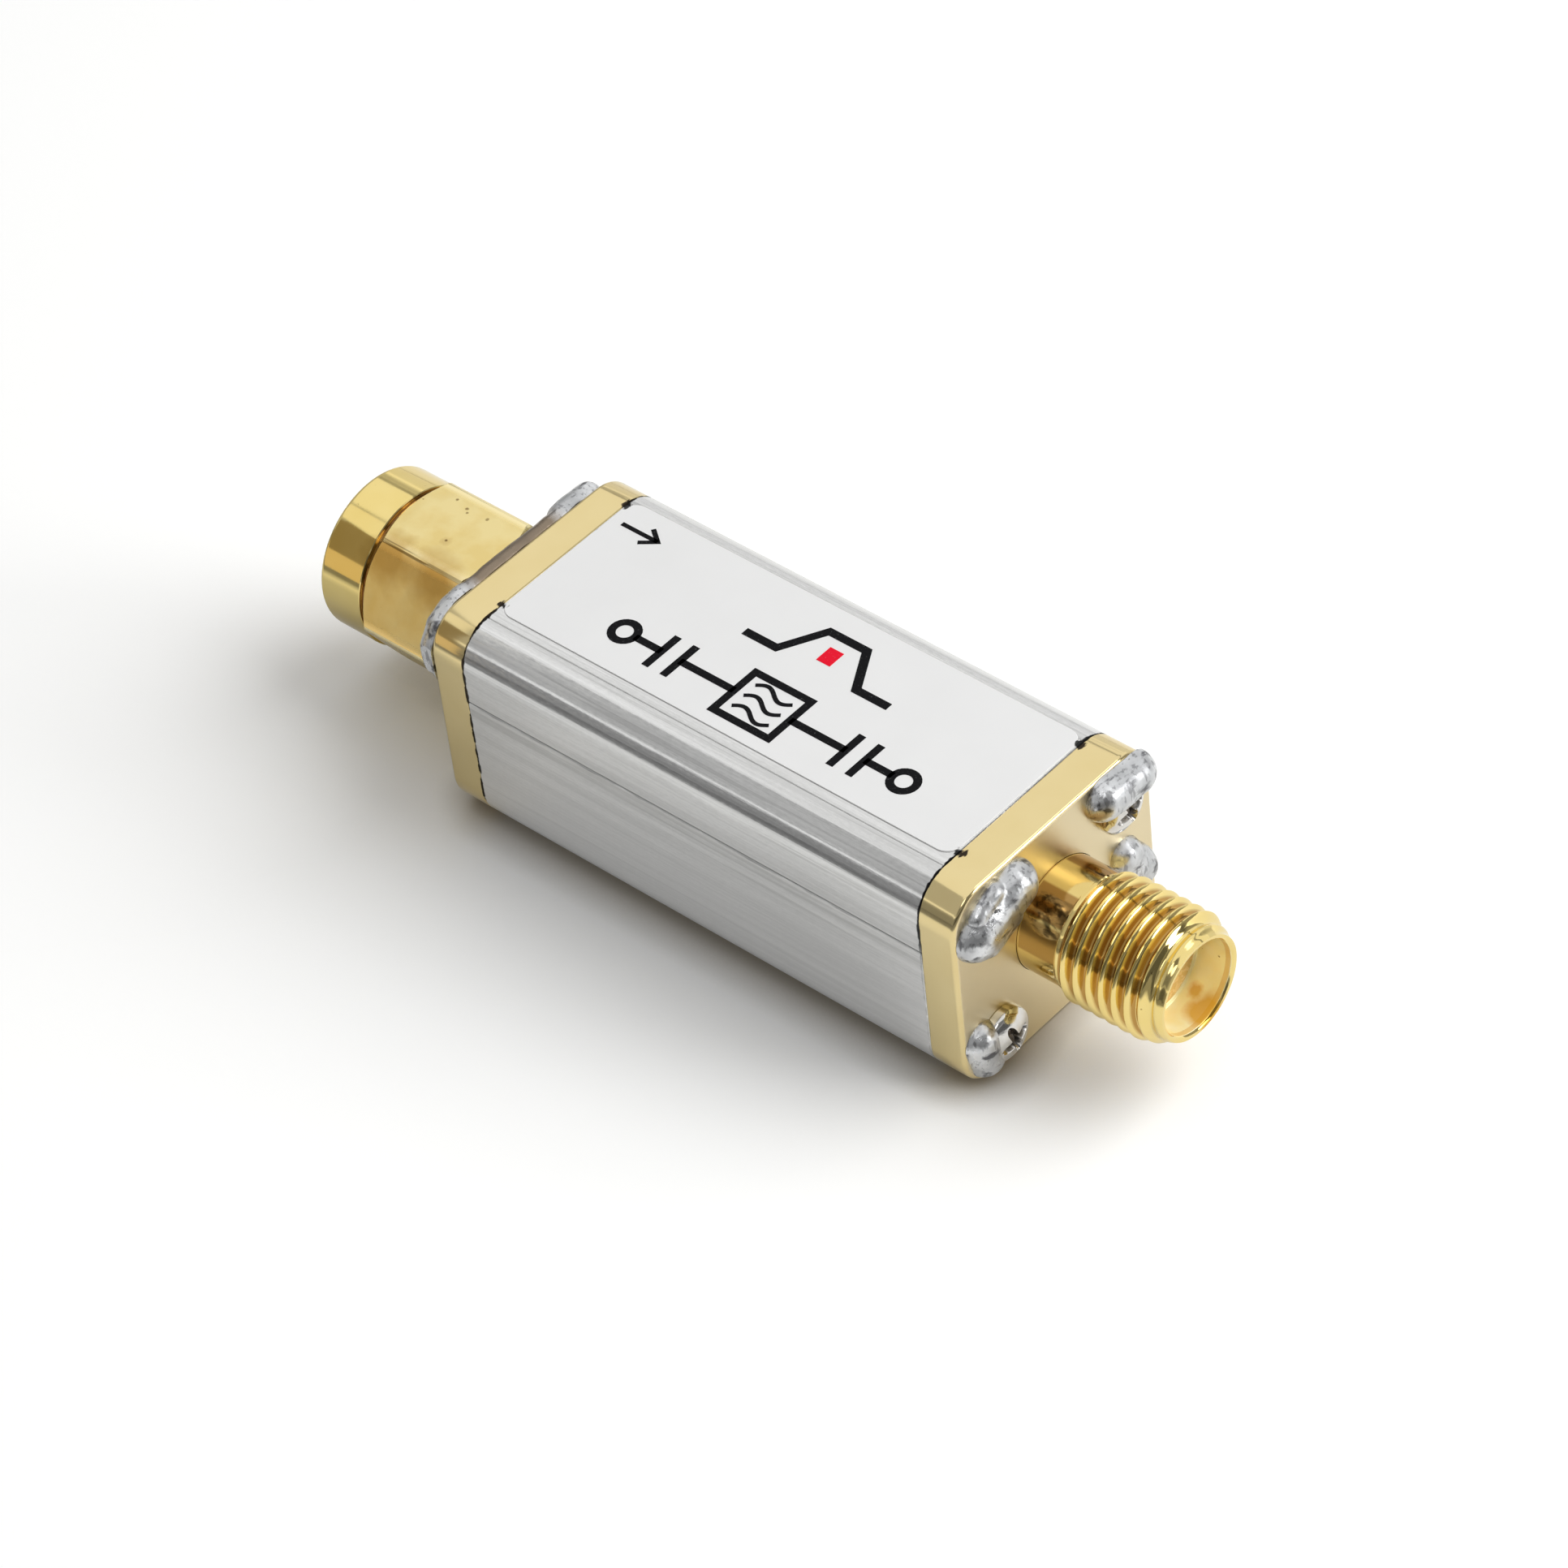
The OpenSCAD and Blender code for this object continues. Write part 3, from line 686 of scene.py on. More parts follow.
def screw_shape():
    """One screw that stands on the plate at the origin, with its head up."""
    turns = [360 * i / 64 for i in range(64)]
    dome_from = head_radius - head_edge
    turned_rows = [
        (0.0, -shank_length), (shank_radius - shank_tip, -shank_length),
        (shank_radius, -shank_length + shank_tip), (shank_radius, 0.0), (head_radius - head_foot, 0.0),
        (head_radius, head_foot), (head_radius, head_rim - head_edge),
        (head_radius - 0.3 * head_edge, head_rim), (dome_from, dome_height(dome_from)),
    ]
    rows = [[(radius, height) for _ in turns] for radius, height in turned_rows]
    for share in (0.8, 0.55, 0.3, 0.12, 0.0):
        reaches = [recess_reach(turn) * (1 - share) + dome_from * share for turn in turns]
        rows.append([(reach, dome_height(reach)) for reach in reaches])
    recess_from = len(rows)
    bottom = head_height - recess_depth
    rows.append([
        (recess_reach(turn, recess_lip_taper), dome_height(recess_reach(turn)) - recess_lip)
        for turn in turns
    ])
    rows.append([(recess_reach(turn, recess_taper), bottom) for turn in turns])
    rows.append([(0.0, bottom - recess_dip) for _ in turns])
    shape = bmesh.new()
    skin(shape, [
        [(radius * math.cos(math.radians(turn)), radius * math.sin(math.radians(turn)), height)
         for turn, (radius, height) in zip(turns, row)]
        for row in rows
    ])
    # The recess is darkened more towards its bottom: painted shade, with some dirt.
    shade_and_dirt = shape.verts.layers.float.new("shade_and_dirt")
    shape.verts.ensure_lookup_table()
    for row, depth in enumerate((0.25, 0.8, 1.0)):
        first = (recess_from + row) * len(turns)
        for corner in shape.verts[first:first + len(turns)]:
            corner[shade_and_dirt] = depth
    bmesh.ops.remove_doubles(shape, verts=shape.verts, dist=0.0008)
    return shape


def new_tree(name, inputs):
    """Starts a Geometry Nodes tree with named inputs. Returns it, its inputs and its output node."""
    tree = bpy.data.node_groups.new(name, "GeometryNodeTree")
    for title, kind in inputs:
        tree.interface.new_socket(title, in_out="INPUT", socket_type=f"NodeSocket{kind}")
    tree.interface.new_socket("Geometry", in_out="OUTPUT", socket_type="NodeSocketGeometry")
    return tree, tree.nodes.new("NodeGroupInput").outputs, tree.nodes.new("NodeGroupOutput")


def closing_nodes(tree, geometry, finish, output):
    """Ends a tree: real copies in place of instances, and their material."""
    real = feed("GeometryNodeRealizeInstances", {"Geometry": geometry}).outputs["Geometry"]
    painted = feed("GeometryNodeSetMaterial", {"Geometry": real, "Material": finish})
    tree.links.new(painted.outputs["Geometry"], output.inputs["Geometry"])


def grown(tree, values, seed=None):
    """Runs a tree with its named inputs filled in, and returns what it makes as a shape."""
    mesh = bpy.data.meshes.new(tree.name)
    if seed:
        seed.to_mesh(mesh)
        seed.free()
    carrier = bpy.data.objects.new(tree.name, mesh)
    modifier = carrier.modifiers.new(tree.name, "NODES")
    modifier.node_group = tree
    for socket in tree.interface.items_tree:
        if socket.in_out == "INPUT" and socket.name in values:
            modifier[socket.identifier] = values[socket.name]
    scene.collection.objects.link(carrier)
    settled(carrier)
    shape = bmesh.new()
    shape.from_mesh(carrier.data)
    bpy.data.objects.remove(carrier)
    return shape


def screw_pattern():
    """Sets one screw at the four corners of a rectangle and turns the set to face out of a plate."""
    tree, given, output = new_tree("screw_pattern", (
        ("Screw", "Geometry"), ("Spacing Across", "Float"), ("Spacing Up", "Float"),
        ("Recess Turn", "Float"), ("Facing", "Vector"), ("Middle", "Vector"), ("Finish", "Material"),
    ))
    places = feed("GeometryNodeMeshGrid", {
        "Size X": given["Spacing Across"], "Size Y": given["Spacing Up"], "Vertices X": 2, "Vertices Y": 2,
    }).outputs["Mesh"]
    screws = feed("GeometryNodeInstanceOnPoints", {
        "Points": places, "Instance": given["Screw"], "Rotation": vector_of(Z=given["Recess Turn"]),
    }).outputs["Instances"]
    facing = feed("GeometryNodeTransform", {
        "Geometry": screws, "Translation": given["Middle"], "Rotation": given["Facing"],
    }).outputs["Geometry"]
    closing_nodes(tree, facing, given["Finish"], output)
    return tree


def bright_nickel():
    finish, shader, spot = finish_of("bright_nickel", {"Metallic": 1.0})
    wear = mottle(spot, 2.5, detail=4.0)
    nickel = mixed(wear, (0.62, 0.60, 0.56, 1.0), (0.84, 0.83, 0.81, 1.0))
    # Painted shade, with some dirt, darkens the cross recess.
    shade_and_dirt = add(shader.id_data, "ShaderNodeAttribute", attribute_name="shade_and_dirt").outputs["Fac"]
    shaded_and_dirty = mixed(shade_and_dirt, nickel, (0.13, 0.10, 0.075, 1.0))
    surface(shader, shaded_and_dirty, between(shade_and_dirt, 0.12, 0.26))
    relief(shader, wear, 0.01)
    return finish


nickel = bright_nickel()
pattern = screw_pattern()
quarter_turn = math.pi / 2
for end_name, end, facing, turn in (
    ("jack", 1, quarter_turn, recess_turn), ("plug", -1, 3 * quarter_turn, -recess_turn),
):
    screws = grown(pattern, {
        "Spacing Across": 2 * screw_across, "Spacing Up": 2 * screw_up, "Recess Turn": turn,
        "Facing": (quarter_turn, 0.0, facing), "Middle": (end * plate_face, 0.0, body_middle),
        "Finish": nickel,
    }, seed=screw_shape())
    made_piece(f"{end_name}_screws", screws, nickel, [f"{end_name}_plate_screws"], sharp=35)

# Solder: bright tin run along the corners of the plates by hand, over and round the screw heads,
# to lock them. Each lump froze with folds and dimples in its skin.
jack_runs = (
    (((-5.3, 3.25), (-2.8, 4.25)), 1.28, -0.12), (((3.4, 4.6), (5.5, 4.5)), 1.12, 0.0),
    (((-5.6, -3.1), (-5.3, -4.4)), 1.05, -0.25), (((4.6, 0.1), (5.6, -1.4)), 1.0, -0.2),
    (((-5.3, 4.3), (-4.1, 4.85)), 0.6, 0.08), (((-4.7, 2.15), (-3.1, 2.75)), 0.6, 0.08),
)
plug_runs = (
    (((-5.5, 2.6), (-4.7, 4.1)), 1.2, -0.25), (((3.4, 4.5), (5.1, 4.2)), 1.25, -0.3),
    (((-6.1, 2.9), (-6.1, 3.8), (-5.6, 4.7), (-4.7, 5.1), (-3.9, 5.15)), 0.68, 0.3),
    (((-3.9, 5.19), (3.0, 5.19)), 0.57, 0.3), (((2.8, 5.02), (4.6, 5.02)), 0.75, 0.45),
)
ball_spacing, ball_wobble, solder_voxel, solder_folds = 0.2, 0.05, 0.06, 0.045
flux_and_shade_middle, flux_and_shade_fade = -0.6, (2.4, 3.4)


def solder_lumps(end, runs, seed):
    """Balls of solder along each run, melted together, dimpled, and cut flat on the plate."""
    balls = bmesh.new()
    for spots, radius, lift in runs:
        for start, finish in zip(spots, spots[1:]):
            count = math.ceil(math.dist(start, finish) / (ball_spacing * radius))
            for i in range(count + 1):
                y, z = Vector(start).lerp(finish, i / count)
                wobble = 1.0 + ball_wobble * noise.noise((y * 0.9, z * 0.9, seed))
                ball = bmesh.ops.create_icosphere(balls, subdivisions=3, radius=radius * wobble)["verts"]
                bmesh.ops.translate(balls, vec=(end * (plate_face + lift), y, body_middle + z), verts=ball)
    mesh = bpy.data.meshes.new("solder")
    balls.to_mesh(mesh)
    balls.free()
    lump = bpy.data.objects.new("solder", mesh)
    scene.collection.objects.link(lump)
    melt = lump.modifiers.new("melt", "REMESH")
    melt.mode = "VOXEL"
    melt.voxel_size = solder_voxel
    ease = lump.modifiers.new("ease", "SMOOTH")
    ease.iterations = 20
    settled(lump)
    shape = bmesh.new()
    shape.from_mesh(lump.data)
    bpy.data.objects.remove(lump)
    shape.normal_update()
    for corner in shape.verts:
        folds = noise.fractal(corner.co * 0.7 + Vector((seed, 0, 0)), 1.0, 2.0, 2)
        corner.co += corner.normal * solder_folds * folds
        corner.co.y = max(-body_side, min(body_side, corner.co.y))
        corner.co.z = max(0.02, min(body_top + 0.03, corner.co.z))
    cut = bmesh.ops.bisect_plane(
        shape, geom=shape.verts[:] + shape.edges[:] + shape.faces[:], plane_co=(end * plate_face, 0, 0),
        plane_no=(-end, 0, 0), clear_outer=True,
    )
    sawn = [part for part in cut["geom_cut"] if isinstance(part, bmesh.types.BMEdge)]
    bmesh.ops.edgeloop_fill(shape, edges=sawn)
    return shape


def tin_solder():
    finish, shader, spot = finish_of("tin_solder", {"Metallic": 1.0})
    skin_tone = mottle(spot, 0.9, detail=4.0)
    wrinkles = mottle(spot, 2.4, (1.0, 0.3, 0.8), 5.0)
    tin = mixed(ramp(skin_tone, 0.35, 0.65), (0.56, 0.57, 0.58, 1.0), (0.80, 0.81, 0.82, 1.0))
    creases = mottle(spot, 4.5, (1.0, 0.9, 0.25), 3.0)
    tin = mixed(ramp(creases, 0.55, 0.63, 0.0, 0.7), tin, (0.24, 0.24, 0.25, 1.0))
    tin = mixed(ramp(wrinkles, 0.56, 0.66), tin, (0.16, 0.16, 0.17, 1.0))
    # Along the top of the plug plate the tin is browner and darker: flux, and painted shade.
    apart = axes_of(spot)
    from_strip = maths("ABSOLUTE", maths("SUBTRACT", apart["Y"], flux_and_shade_middle))
    plug_side = ramp(apart["X"], -plate_face, 0.0, 1.0, 0.0)
    flux_and_shade = maths("MULTIPLY", ramp(from_strip, *flux_and_shade_fade, 1.0, 0.0), plug_side)
    tin_with_flux_and_shade = mixed(flux_and_shade, tin, (0.29, 0.23, 0.17, 1.0))
    surface(shader, tin_with_flux_and_shade, ramp(skin_tone, 0.35, 0.65, 0.4, 0.25))
    relief(shader, maths("ADD", wrinkles, maths("MULTIPLY", creases, 0.4)), 0.04)
    return finish


solder = tin_solder()
for end_name, end, runs, seed in (("jack", 1, jack_runs, 3.0), ("plug", -1, plug_runs, 8.0)):
    lumps = solder_lumps(end, runs, seed)
    made_piece(f"{end_name}_solder", lumps, solder, [f"{end_name}_plate_solder"])

# Female port: a turned brass barrel with a 1/4-36 thread, plated with bright gold. Its shoulder
# is trapped behind the plate.
jack_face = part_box("jack_body")[1].x / mm
shoulder_back = body_end - 0.8
shoulder_radius = 3.5
insulator_radius, press_gap = 2.05, 0.01
bore_radius = insulator_radius + press_gap
jack_reference = jack_face - 1.9
socket_radius, mouth_radius, mouth_bevel, jack_rim = 2.3, 2.42, 0.12, 2.58
pitch = 25.4 / 36
crest_radius, root_radius = 3.175, 2.79
thread_start = jack_face - 5.85
rows_per_pitch = 14


def eased(points, radius, steps=3):
    """Rounds each inner corner of an outline, by less where there is no room."""
    spots = [Vector(point) for point in points]
    rounded = [spots[0]]
    for before, corner, after in zip(spots, spots[1:], spots[2:]):
        back, ahead = before - corner, after - corner
        size = min(radius, 0.45 * back.length, 0.45 * ahead.length)
        first, last = corner + back.normalized() * size, corner + ahead.normalized() * size
        for i in range(steps + 1):
            share = i / steps
            rounded.append(first.lerp(corner, share).lerp(corner.lerp(last, share), share))
    return rounded + [spots[-1]]


def about_axis(x, radius, turn):
    """The point at this radius and angle round the connector axis."""
    return (x, radius * math.cos(turn), connector_height + radius * math.sin(turn))


def turn_on_axis(shape, outline):
    """Turns an outline of (x, radius) points about the connector axis."""
    turns = [math.tau * i / segments for i in range(segments)]
    return skin(shape, [[about_axis(x, radius, turn) for turn in turns] for x, radius in outline])


def screw_thread():
    """One right-handed thread along X, faded out at both ends to plain round edges."""
    tree, given, output = new_tree("screw_thread", (
        ("Start", "Float"), ("End", "Float"), ("Pitch", "Float"), ("Crest Radius", "Float"),
        ("Root Radius", "Float"), ("Start Radius", "Float"), ("End Radius", "Float"), ("Run In", "Float"),
        ("Run Out", "Float"), ("Axis Height", "Float"), ("Rows Per Pitch", "Int"), ("Segments", "Int"),
        ("Finish", "Material"),
    ))
    length = maths("SUBTRACT", given["End"], given["Start"])
    turns = maths("ADD", maths("CEIL", maths("DIVIDE", length, given["Pitch"])), 1.0)
    columns = maths("ADD", given["Segments"], 1.0)
    grid = feed("GeometryNodeMeshGrid", {
        "Vertices X": maths("ADD", maths("MULTIPLY", turns, given["Rows Per Pitch"]), 1.0),
        "Vertices Y": columns,
    }).outputs["Mesh"]
    index = add(tree, "GeometryNodeInputIndex").outputs["Index"]
    row = maths("FLOOR", maths("DIVIDE", maths("ADD", index, 0.5), columns))
    column = maths("SUBTRACT", index, maths("MULTIPLY", row, columns))
    wound = maths("DIVIDE", column, given["Segments"])
    pitches = maths("DIVIDE", row, given["Rows Per Pitch"])
    climbed = maths("SUBTRACT", maths("ADD", pitches, wound), 1.0)
    along = maths("ADD", given["Start"], maths("MULTIPLY", climbed, given["Pitch"]))
    along = maths("MINIMUM", maths("MAXIMUM", along, given["Start"]), given["End"])
    phase = maths("FRACT", pitches)
    from_crest = maths("ABSOLUTE", maths("SUBTRACT", maths("MULTIPLY", phase, 2.0), 1.0))
    depth = feed("ShaderNodeMapRange", {
        "Value": from_crest, "From Min": 0.0, "From Max": 0.94,
        "To Min": given["Crest Radius"], "To Max": given["Root Radius"],
    }, interpolation_type="SMOOTHSTEP").outputs["Result"]
    radius = depth
    for run, plain_radius, past_end in (
        ("Run In", "Start Radius", maths("SUBTRACT", along, given["Start"])),
        ("Run Out", "End Radius", maths("SUBTRACT", given["End"], along)),
    ):
        cut_in = ramp(maths("DIVIDE", past_end, given[run]), 0.0, 1.0)
        radius = between(cut_in, given[plain_radius], radius)
    angle = maths("MULTIPLY", wound, math.tau)
    across, up = (maths("MULTIPLY", radius, maths(wave, angle)) for wave in ("COSINE", "SINE"))
    place = vector_of(X=along, Y=across, Z=maths("ADD", given["Axis Height"], up))
    wrapped = feed("GeometryNodeSetPosition", {"Geometry": grid, "Position": place})
    welded = feed("GeometryNodeMergeByDistance", {
        "Geometry": wrapped.outputs["Geometry"], "Distance": 0.002,
    }).outputs["Geometry"]
    closing_nodes(tree, welded, given["Finish"], output)
    return tree


def bright_gold(
    name, scratch_depth, stains_and_painted_light=(), painted_reflections=(), marks_and_painted_light=(), worn=(), worn_colours=(), worn_metal=1.0,
):
    """Polished gold, with stains and painted light in some rings, painted reflection bands in parts of
    rings, marks and painted light in some spots, and worn dull in other rings. A ring is its inner and
    outer radius, and its nearest and farthest distance along X. A reflection band is the part of a ring
    between two angles. Stains, painted light, reflection bands and marks have a strength and a colour."""
    finish, shader, spot = finish_of(name, {"Metallic": 1.0})
    cast = mottle(spot, 0.7, detail=3.0)
    lathe_lines = mottle(spot, 22.0, (1.0, 0.06, 0.06), 2.0)
    pits = ramp(mottle(spot, 3.2, detail=3.0), 0.73, 0.79)
    gold = mixed(cast, (0.88, 0.68, 0.24, 1.0), (0.94, 0.76, 0.32, 1.0))
    apart = axes_of(spot)
    above_axis = maths("SUBTRACT", apart["Z"], connector_height)
    radius = measured("LENGTH", vector_of(Y=apart["Y"], Z=above_axis))
    along = maths("ABSOLUTE", apart["X"])
    around = maths("ARCTAN2", above_axis, apart["Y"])

    def in_ring(radii, stretch):
        return maths("MULTIPLY", within(radius, *radii, 0.12), within(along, *stretch, 0.01))

    polish = ramp(cast, 0.3, 0.7, 0.06, 0.11)
    clouds = ramp(mottle(spot, 0.6, detail=5.0), 0.38, 0.62)
    for ring in worn:
        is_worn = in_ring(*ring)
        gold = mixed(is_worn, gold, mixed(clouds, *worn_colours))
        polish = between(is_worn, polish, 0.28)
        rubbed = maths("MULTIPLY", maths("MULTIPLY", is_worn, clouds), 8.0)
        lathe_lines = maths("ADD", lathe_lines, rubbed)
        if worn_metal < 1.0:
            connect(between(is_worn, 1.0, worn_metal), shader, "Metallic")
    for radii, stretch, strength, colour in stains_and_painted_light:
        gold = mixed(maths("MULTIPLY", in_ring(radii, stretch), strength), gold, colour)
    # Painted reflections: bands along a ring between two angles.
    for radii, stretch, turns, strength, colour in painted_reflections:
        turned = within(around, *map(math.radians, turns), 0.04)
        reflection_band = maths("MULTIPLY", maths("MULTIPLY", in_ring(radii, stretch), turned), strength)
        gold = mixed(reflection_band, gold, colour)
    for place, reach, strength, colour in marks_and_painted_light:
        uneven = maths("MULTIPLY", mottle(spot, 1.0 / reach, detail=4.0), reach)
        ragged = maths("ADD", measured("DISTANCE", spot, place), uneven)
        gold = mixed(ramp(ragged, 0.85 * reach, 1.3 * reach, strength, 0.0), gold, colour)
    surface(shader, mixed(pits, gold, (0.35, 0.22, 0.07, 1.0)), polish)
    relief(shader, maths("SUBTRACT", lathe_lines, pits), scratch_depth)
    return finish


# Painted shade darkens the thread roots, the barrel and its foot by the plate, and orange painted shade lies
# inside the mouth. The brown bands along the barrel are painted reflections. The tarnish round a dent on the
# nut is real.
tarnish_and_shade, mouth_shade, painted_reflection_brown = (0.50, 0.29, 0.08, 1.0), (0.72, 0.38, 0.02, 1.0), (0.34, 0.16, 0.04, 1.0)
gold_of_ports = bright_gold(
    "bright_gold", 0.0005,
    stains_and_painted_light=[
        ((2.72, 2.9), (17.8, 22.1), 1.0, tarnish_and_shade), ((2.7, 2.9), (plate_face, 17.7), 0.2, tarnish_and_shade),
        ((2.7, 2.9), (plate_face, plate_face + 0.06), 0.7, tarnish_and_shade),
        ((2.2, 2.4), (23.02, 23.28), 0.5, mouth_shade),
    ],
    painted_reflections=[
        ((2.7, 2.9), (plate_face + 0.1, 17.6), turns, strength, painted_reflection_brown)
        for turns, strength in (((36, 74), 0.8), ((108, 138), 0.8), ((143, 175), 0.65))
    ],
    marks_and_painted_light=[((23.2, 0.7, 3.9), 1.4, 0.85, mouth_shade), ((22.1, 1.25, 4.2), 0.55, 0.75, mouth_shade)],
    worn=[((0.0, 2.35), (21.0, 23.3))], worn_colours=((0.97, 0.86, 0.44, 1.0), (1.0, 0.95, 0.66, 1.0)),
    worn_metal=0.4,
)
thread_tree = screw_thread()
thread_sizes = {
    "Pitch": pitch, "Axis Height": connector_height, "Rows Per Pitch": rows_per_pitch,
    "Segments": segments, "Finish": gold_of_ports,
}
barrel = grown(thread_tree, thread_sizes | {
    "Start": thread_start, "End": jack_face, "Crest Radius": crest_radius, "Root Radius": root_radius,
    "Start Radius": barrel_radius, "End Radius": jack_rim, "Run In": 0.6, "Run Out": 1.2,
})
turn_on_axis(barrel, eased([
    (jack_face, jack_rim), (jack_face, mouth_radius), (jack_face - mouth_bevel, socket_radius),
    (jack_reference, socket_radius), (jack_reference, bore_radius), (shoulder_back, bore_radius),
    (shoulder_back, shoulder_radius), (body_end, shoulder_radius), (body_end, barrel_radius),
    (thread_start, barrel_radius),
], 0.04))
made_piece("jack_barrel", barrel, gold_of_ports, ["jack_body"])

# Male port: the turned outer conductor, gold-plated. A groove round it holds the ring that
# keeps the nut on, and its front is a thin sleeve that slides into the other filter's socket.
plug_reference, plug_seat, nut_back = 23.1, 21.1, 17.0
ring_back, ring_thick, ring_play = 18.6, 0.6, 0.08
groove_back, groove_front = ring_back - ring_play, ring_back + ring_thick + ring_play
sleeve_radius, sleeve_bevel, groove_floor = 2.295, 0.1, 2.45
plug = bmesh.new()
turn_on_axis(plug, [(-x, radius) for x, radius in eased([
    (shoulder_back, bore_radius), (shoulder_back, shoulder_radius), (body_end, shoulder_radius),
    (body_end, barrel_radius), (groove_back, barrel_radius), (groove_back, groove_floor),
    (groove_front, groove_floor), (groove_front, barrel_radius), (plug_seat, barrel_radius),
    (plug_seat, sleeve_radius), (plug_reference - sleeve_bevel, sleeve_radius),
    (plug_reference, sleeve_radius - sleeve_bevel), (plug_reference, bore_radius),
    (shoulder_back, bore_radius),
], 0.04)])
made_piece("plug_conductor", plug, gold_of_ports, ["plug_body"])

# Coupling nut: hexagon brass bar with its corners turned off at both ends, a plain round collar
# in front of a fine groove, and a thread inside. Gold-plated, and it turns on the male port.
nut_front = -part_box("plug_coupling_nut")[0].x / mm
nut_groove = nut_front - 2.75
groove_width, groove_radius = 0.16, 3.95
nut_flat, nut_corner, nut_turn = 4.0, 0.3, 3.0
turned_face, turned_slope, turned_edge, turned_ease = 3.97, 0.5 / 0.6, 0.03, 0.012
collar_radius, collar_edge = 4.1, 0.25
nut_bore, nut_relief, nut_mouth, nut_groove_floor = 2.87, 3.25, 3.35, 3.43
nut_minor, nut_major = 2.85, 3.2
thread_mouth, thread_end = nut_front - 0.55, plug_seat + 1.0


def hexagon_directions():
    """The nut's round-cornered hexagon, as (angle, distance) from the connector axis."""
    middle = (nut_flat - nut_corner) / math.cos(math.pi / 6)
    bends = []
    for side in range(7):
        towards = nut_turn + 60 * side
        y, z = (middle * wave(math.radians(towards)) for wave in (math.cos, math.sin))
        bends.append(arc(y, z, nut_corner, towards - 30, towards + 30, 6))
    spots = []
    for bend, after in zip(bends, bends[1:]):
        spots += bend + [Vector(bend[-1]).lerp(after[0], i / 12) for i in range(1, 12)]
    return [(math.atan2(z, y), math.hypot(y, z)) for y, z in spots]


def nut_outside(shape):
    """Outside of the nut from its back face to its front face."""
    collar_back = nut_groove + groove_width
    collar = arc(nut_front - collar_edge, collar_radius - collar_edge, collar_edge, 90, 0, 6)
    rows = []
    for angle, reach in hexagon_directions():
        face = min(turned_face, reach - 0.04)
        cut = turned_slope * max(reach - turned_face, 0.0) + 0.02
        profile = [
            (nut_back, face - turned_edge), (nut_back + 0.01, face), (nut_back + cut, reach - turned_ease),
            (nut_back + cut + turned_edge, reach), (nut_groove - cut - turned_edge, reach),
            (nut_groove - cut, reach - turned_ease), (nut_groove - 0.01, face),
            (nut_groove, face - turned_edge), (nut_groove, groove_radius), (collar_back, groove_radius),
            (collar_back, collar_radius - 0.04), (collar_back + 0.04, collar_radius),
        ] + collar + [(nut_front, nut_mouth + 0.06)]
        rows.append([about_axis(-x, radius, angle) for x, radius in profile])
    return skin(shape, list(zip(*rows)))


nut = grown(thread_tree, thread_sizes | {
    "Start": -thread_mouth, "End": -thread_end, "Crest Radius": nut_minor, "Root Radius": nut_major,
    "Start Radius": nut_minor, "End Radius": nut_relief, "Run In": 0.3, "Run Out": 0.25,
})
outside_ends = nut_outside(nut)
mouth_ends = turn_on_axis(nut, [(-nut_front, nut_mouth), (-thread_mouth, nut_minor)])
bore_ends = turn_on_axis(nut, [(-x, radius) for x, radius in eased([
    (thread_end, nut_relief), (plug_seat - 0.35, nut_relief), (plug_seat - 0.35, nut_bore),
    (groove_front, nut_bore), (groove_front, nut_groove_floor), (groove_back, nut_groove_floor),
    (groove_back, nut_bore), (nut_back + 0.1, nut_bore), (nut_back, nut_bore + 0.1),
], 0.03)])
fill_between(nut, [outside_ends[1], mouth_ends[0]])
fill_between(nut, [outside_ends[0], bore_ends[1]])
dent, dark_reflection, groove_shade = (0.24, 0.15, 0.05, 1.0), (0.58, 0.37, 0.10, 1.0), (0.2, 0.09, 0.03, 1.0)
# Painted shade in the groove, a painted highlight along the hexagon's corners, and painted dark reflections
# on the top and near flats. The dents and the tarnish round one are real.
nut_gold = bright_gold(
    "nut_gold", 0.001,
    stains_and_painted_light=[
        ((3.9, 4.0), (nut_groove + 0.01, nut_groove + groove_width - 0.01), 1.0, groove_shade),
        # A painted highlight along the hexagon's corners.
        ((4.5, 5.0), (nut_back, nut_groove), 0.8, (1.0, 0.88, 0.52, 1.0)),
    ],
    marks_and_painted_light=[
        ((-19.2, -2.8, 9.4), 2.7, 0.85, dark_reflection), ((-21.7, -2.8, 9.3), 2.1, 0.8, dark_reflection),
        ((-19.96, -0.95, 10.06), 0.45, 0.3, tarnish_and_shade), ((-19.98, -0.9, 10.06), 0.12, 1.0, dent),
        ((-21.4, 1.4, 10.18), 0.12, 0.8, dent), ((-20.6, 1.2, 10.17), 0.14, 0.8, dent),
        ((-20.4, 1.0, 10.16), 0.1, 0.8, dent), ((-19.3, 1.2, 10.17), 0.14, 0.7, dent),
    ],
    worn=[((3.9, 4.38), (nut_back, nut_groove - 0.01))],
    worn_colours=((0.88, 0.69, 0.28, 1.0), (0.94, 0.78, 0.37, 1.0)),
)
made_piece(
    "coupling_nut_shell", nut, nut_gold,
    ["plug_coupling_nut"], body="coupling_nut", sharp=24,
)

# Retaining ring: an open ring of spring bronze, half in the groove of the port and half in the
# groove of the nut.
ring_inner, ring_outer, ring_gap = 2.5, 3.33, 35


def drifting_finish(name, sockets, scale, colours, roughness, stretch=(1.0, 1.0, 1.0), detail=3.0):
    """A finish whose colour and roughness both drift slowly between two values."""
    finish, shader, spot = finish_of(name, sockets)
    tone = mottle(spot, scale, stretch, detail)
    surface(shader, mixed(tone, *colours), ramp(tone, 0.3, 0.7, *roughness))
    return finish


